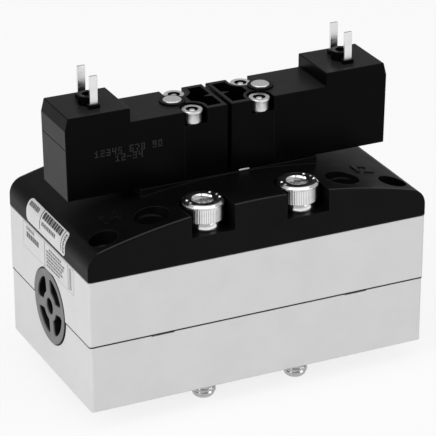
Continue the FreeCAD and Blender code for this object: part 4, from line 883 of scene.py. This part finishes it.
for step, (start, lengths) in enumerate(small_rows):
    small_bars += dashes(start, lengths, 0.3, 41.2 - 1.18 * step, 41.95 - 1.18 * step)
small_bars += [(-18.6, 35.4 + 0.8 * step, -17.0, 35.9 + 0.8 * step) for step in range(9)]
small_bars += [(2.4, 34.6, 2.75, 42.9), (-16.2, 34.8, -15.9, 42.9)]
settle(printed_bars("lower_label_small_print", on_housing_end, small_bars, LOWER_BAR_LIFT),
       "grey_plastic", FAINT_PRINT)
outline_bars = frame_lines((-20.1, 20.1), (34.4, 42.9), 0.14)
settle(printed_bars("lower_label_lines", on_housing_end, outline_bars, LOWER_BAR_LIFT),
       "grey_plastic", PALE_PRINT)


# Dot print on the left pilot, each figure in five rows of three dots

DOT_DIGITS = {"0": "111101101101111", "1": "010110010010111", "2": "111001111100111", "3": "111001111001111",
              "4": "101101111001001", "5": "111100111001111", "6": "111100111101111", "7": "111001001010010",
              "8": "111101111101111", "9": "111101111001111", "-": "000000111000000", " ": "000000000000000"}
DOT_PITCH = 0.47
DOT_HALF = 0.15
DOT_LIFT = 0.03
DIGIT_PITCH = 1.9


def dotted_row(words, start_x, base_z):
    """Where the dots of a row of figures stand on the pilot's front face."""
    spots = []
    for place, digit in enumerate(words):
        for index, mark in enumerate(DOT_DIGITS[digit]):
            row, column = divmod(index, 3)
            if mark == "1":
                spots.append((start_x + DIGIT_PITCH * place + DOT_PITCH * column,
                              base_z + DOT_PITCH * (4 - row)))
    return spots


def dot_print(name, spots):
    """Thin square dots on the pilot's front face."""
    points, faces = [], []
    square = ((-DOT_HALF, -DOT_HALF), (DOT_HALF, -DOT_HALF), (DOT_HALF, DOT_HALF), (-DOT_HALF, DOT_HALF))
    for x, z in spots:
        faces += strip_faces(len(points))
        for y in (PILOT_FRONT + DOT_LIFT, PILOT_FRONT - DOT_LIFT):
            points += [(x + aside, y, z + up) for aside, up in square]
    return piece_of(name, mesh_from(name, points, faces))


dots = dotted_row("12345 678 90", -44.8, 73.3) + dotted_row("12-34", -38.0, 70.9)
settle(dot_print("left_pilot_dot_print", dots), "black_plastic", WORN_DOTS)


# Raised numerals on the cover

NUMBER_X, NUMBER_Y = 42.8, -15.2


def cover_height(x):
    """The arched top's height at a place along the cover."""
    return COVER_ARC_CENTRE + math.sqrt(COVER_ARC ** 2 - x ** 2)


def raised_number(name, digits, centre_x):
    """Raised figures on the arched top."""
    words = bpy.data.curves.new(name, "FONT")
    words.body = digits
    words.size = 7.4
    words.align_x = "CENTER"
    words.align_y = "CENTER"
    words.extrude = 0.25
    words.offset = 0.12
    words.resolution_u = 4
    draft = piece_of(name, words)
    mesh = evaluated_mesh(draft)
    bpy.data.objects.remove(draft)
    for point in mesh.vertices:
        x, y = centre_x + point.co.x, NUMBER_Y + point.co.y
        point.co = Vector((x, y, cover_height(x) + point.co.z)) * MM
    work = bmesh.new()
    work.from_mesh(mesh)
    bmesh.ops.remove_doubles(work, verts=work.verts, dist=1e-6)
    bmesh.ops.recalc_face_normals(work, faces=work.faces)
    work.to_mesh(mesh)
    work.free()
    settle(piece_of(name, mesh), "black_cover", FINISHES["black_cover"])


raised_number("left_number", "14", -NUMBER_X)
raised_number("right_number", "12", NUMBER_X)


# Finishes of the CAD's own pieces

for part in frame["record"]["subparts"]:
    coat(frame["nodes"][part["node"]], FINISHES[part["material_slot"]])
for node in ("left_override_collar", "right_override_collar", "recess_plugs"):
    coat(frame["nodes"][node], DEEP_BLACK)
for node in ("left_override_button", "right_override_button"):
    coat(frame["nodes"][node], BUTTON_ZINC)


# Studio

FLOOR_REACH = 3.0
FLOOR_GAP = 0.03
FLOOR_WHITE_SHARE = 0.82
LIT_POINT = (0.0, 0.0, 0.04)


def floor_finish():
    """Pale floor paper that shows as the white background, takes the shadow and hides nothing from below."""
    material = bpy.data.materials.new("floor paper")
    material.use_nodes = True
    tree = material.node_tree
    paper = tree.nodes["Principled BSDF"]
    paper.inputs["Base Color"].default_value = grey(0.86)
    paper.inputs["Roughness"].default_value = 0.9
    paper.inputs["Specular IOR Level"].default_value = 0.0
    rays = tree.nodes.new("ShaderNodeLightPath").outputs
    seen = maths(tree, "MAXIMUM", rays["Is Camera Ray"],
                 maths(tree, "MAXIMUM", rays["Is Glossy Ray"], rays["Is Transmission Ray"]))
    white = put(tree, "ShaderNodeEmission", None, {"Color": grey(1.0), "Strength": 1.0})
    mix = put(tree, "ShaderNodeMixShader", None, {"Fac": product(tree, seen, FLOOR_WHITE_SHARE)})
    feed(tree, mix.inputs[1], paper.outputs["BSDF"])
    feed(tree, mix.inputs[2], white.outputs["Emission"])
    sides = put(tree, "ShaderNodeMixShader", None, {
        "Fac": tree.nodes.new("ShaderNodeNewGeometry").outputs["Backfacing"]})
    feed(tree, sides.inputs[1], mix.outputs["Shader"])
    feed(tree, sides.inputs[2], tree.nodes.new("ShaderNodeBsdfTransparent").outputs["BSDF"])
    feed(tree, tree.nodes["Material Output"].inputs["Surface"], sides.outputs["Shader"])
    return material


def studio_floor():
    """A wide square just under the screws' free ends."""
    corners = [(-FLOOR_REACH, -FLOOR_REACH), (FLOOR_REACH, -FLOOR_REACH),
               (FLOOR_REACH, FLOOR_REACH), (-FLOOR_REACH, FLOOR_REACH)]
    mesh = bpy.data.meshes.new("studio_floor")
    mesh.from_pydata([(x, y, (FLOOR_LEVEL - FLOOR_GAP) * MM) for x, y in corners], [], [(0, 1, 2, 3)])
    floor = piece_of("studio_floor", mesh)
    coat(floor, floor_finish())


def soft_light(name, place, size, power):
    """A rectangular lamp that looks at the valve."""
    lamp = bpy.data.lights.new(name, "AREA")
    lamp.shape = "RECTANGLE"
    lamp.size, lamp.size_y = size
    lamp.energy = power
    light = piece_of(name, lamp)
    light.location = place
    light.rotation_euler = (Vector(LIT_POINT) - Vector(place)).to_track_quat("-Z", "Y").to_euler()


studio_floor()
soft_light("left_softbox", (-1.2, -0.35, 0.7), (0.9, 0.9), 9.0)
soft_light("front_softbox", (0.95, -1.15, 0.6), (1.0, 0.7), 5.8)
soft_light("top_softbox", (0.0, -0.25, 1.25), (1.8, 0.9), 5.0)

world = bpy.data.worlds.new("studio")
world.use_nodes = True
sky = world.node_tree
sky.nodes["Background"].inputs["Color"].default_value = grey(1.0)
seen = sky.nodes.new("ShaderNodeLightPath").outputs["Is Camera Ray"]
feed(sky, sky.nodes["Background"].inputs["Strength"], spread(sky, seen, 0.0, 1.0, 0.45, 1.0))
bpy.context.scene.world = world

lens = bpy.data.cameras.new("camera")
lens.lens = 222.06
lens.sensor_width = 36.0
lens.clip_start = 0.05
lens.clip_end = 20.0
camera = piece_of("camera", lens)
camera.location = (-0.33081, -0.69397, 0.39258)
camera.rotation_euler = (math.radians(90 - 24.60), 0.0, math.radians(-25.523))
bpy.context.scene.camera = camera
bpy.context.scene.view_settings.view_transform = "Standard"
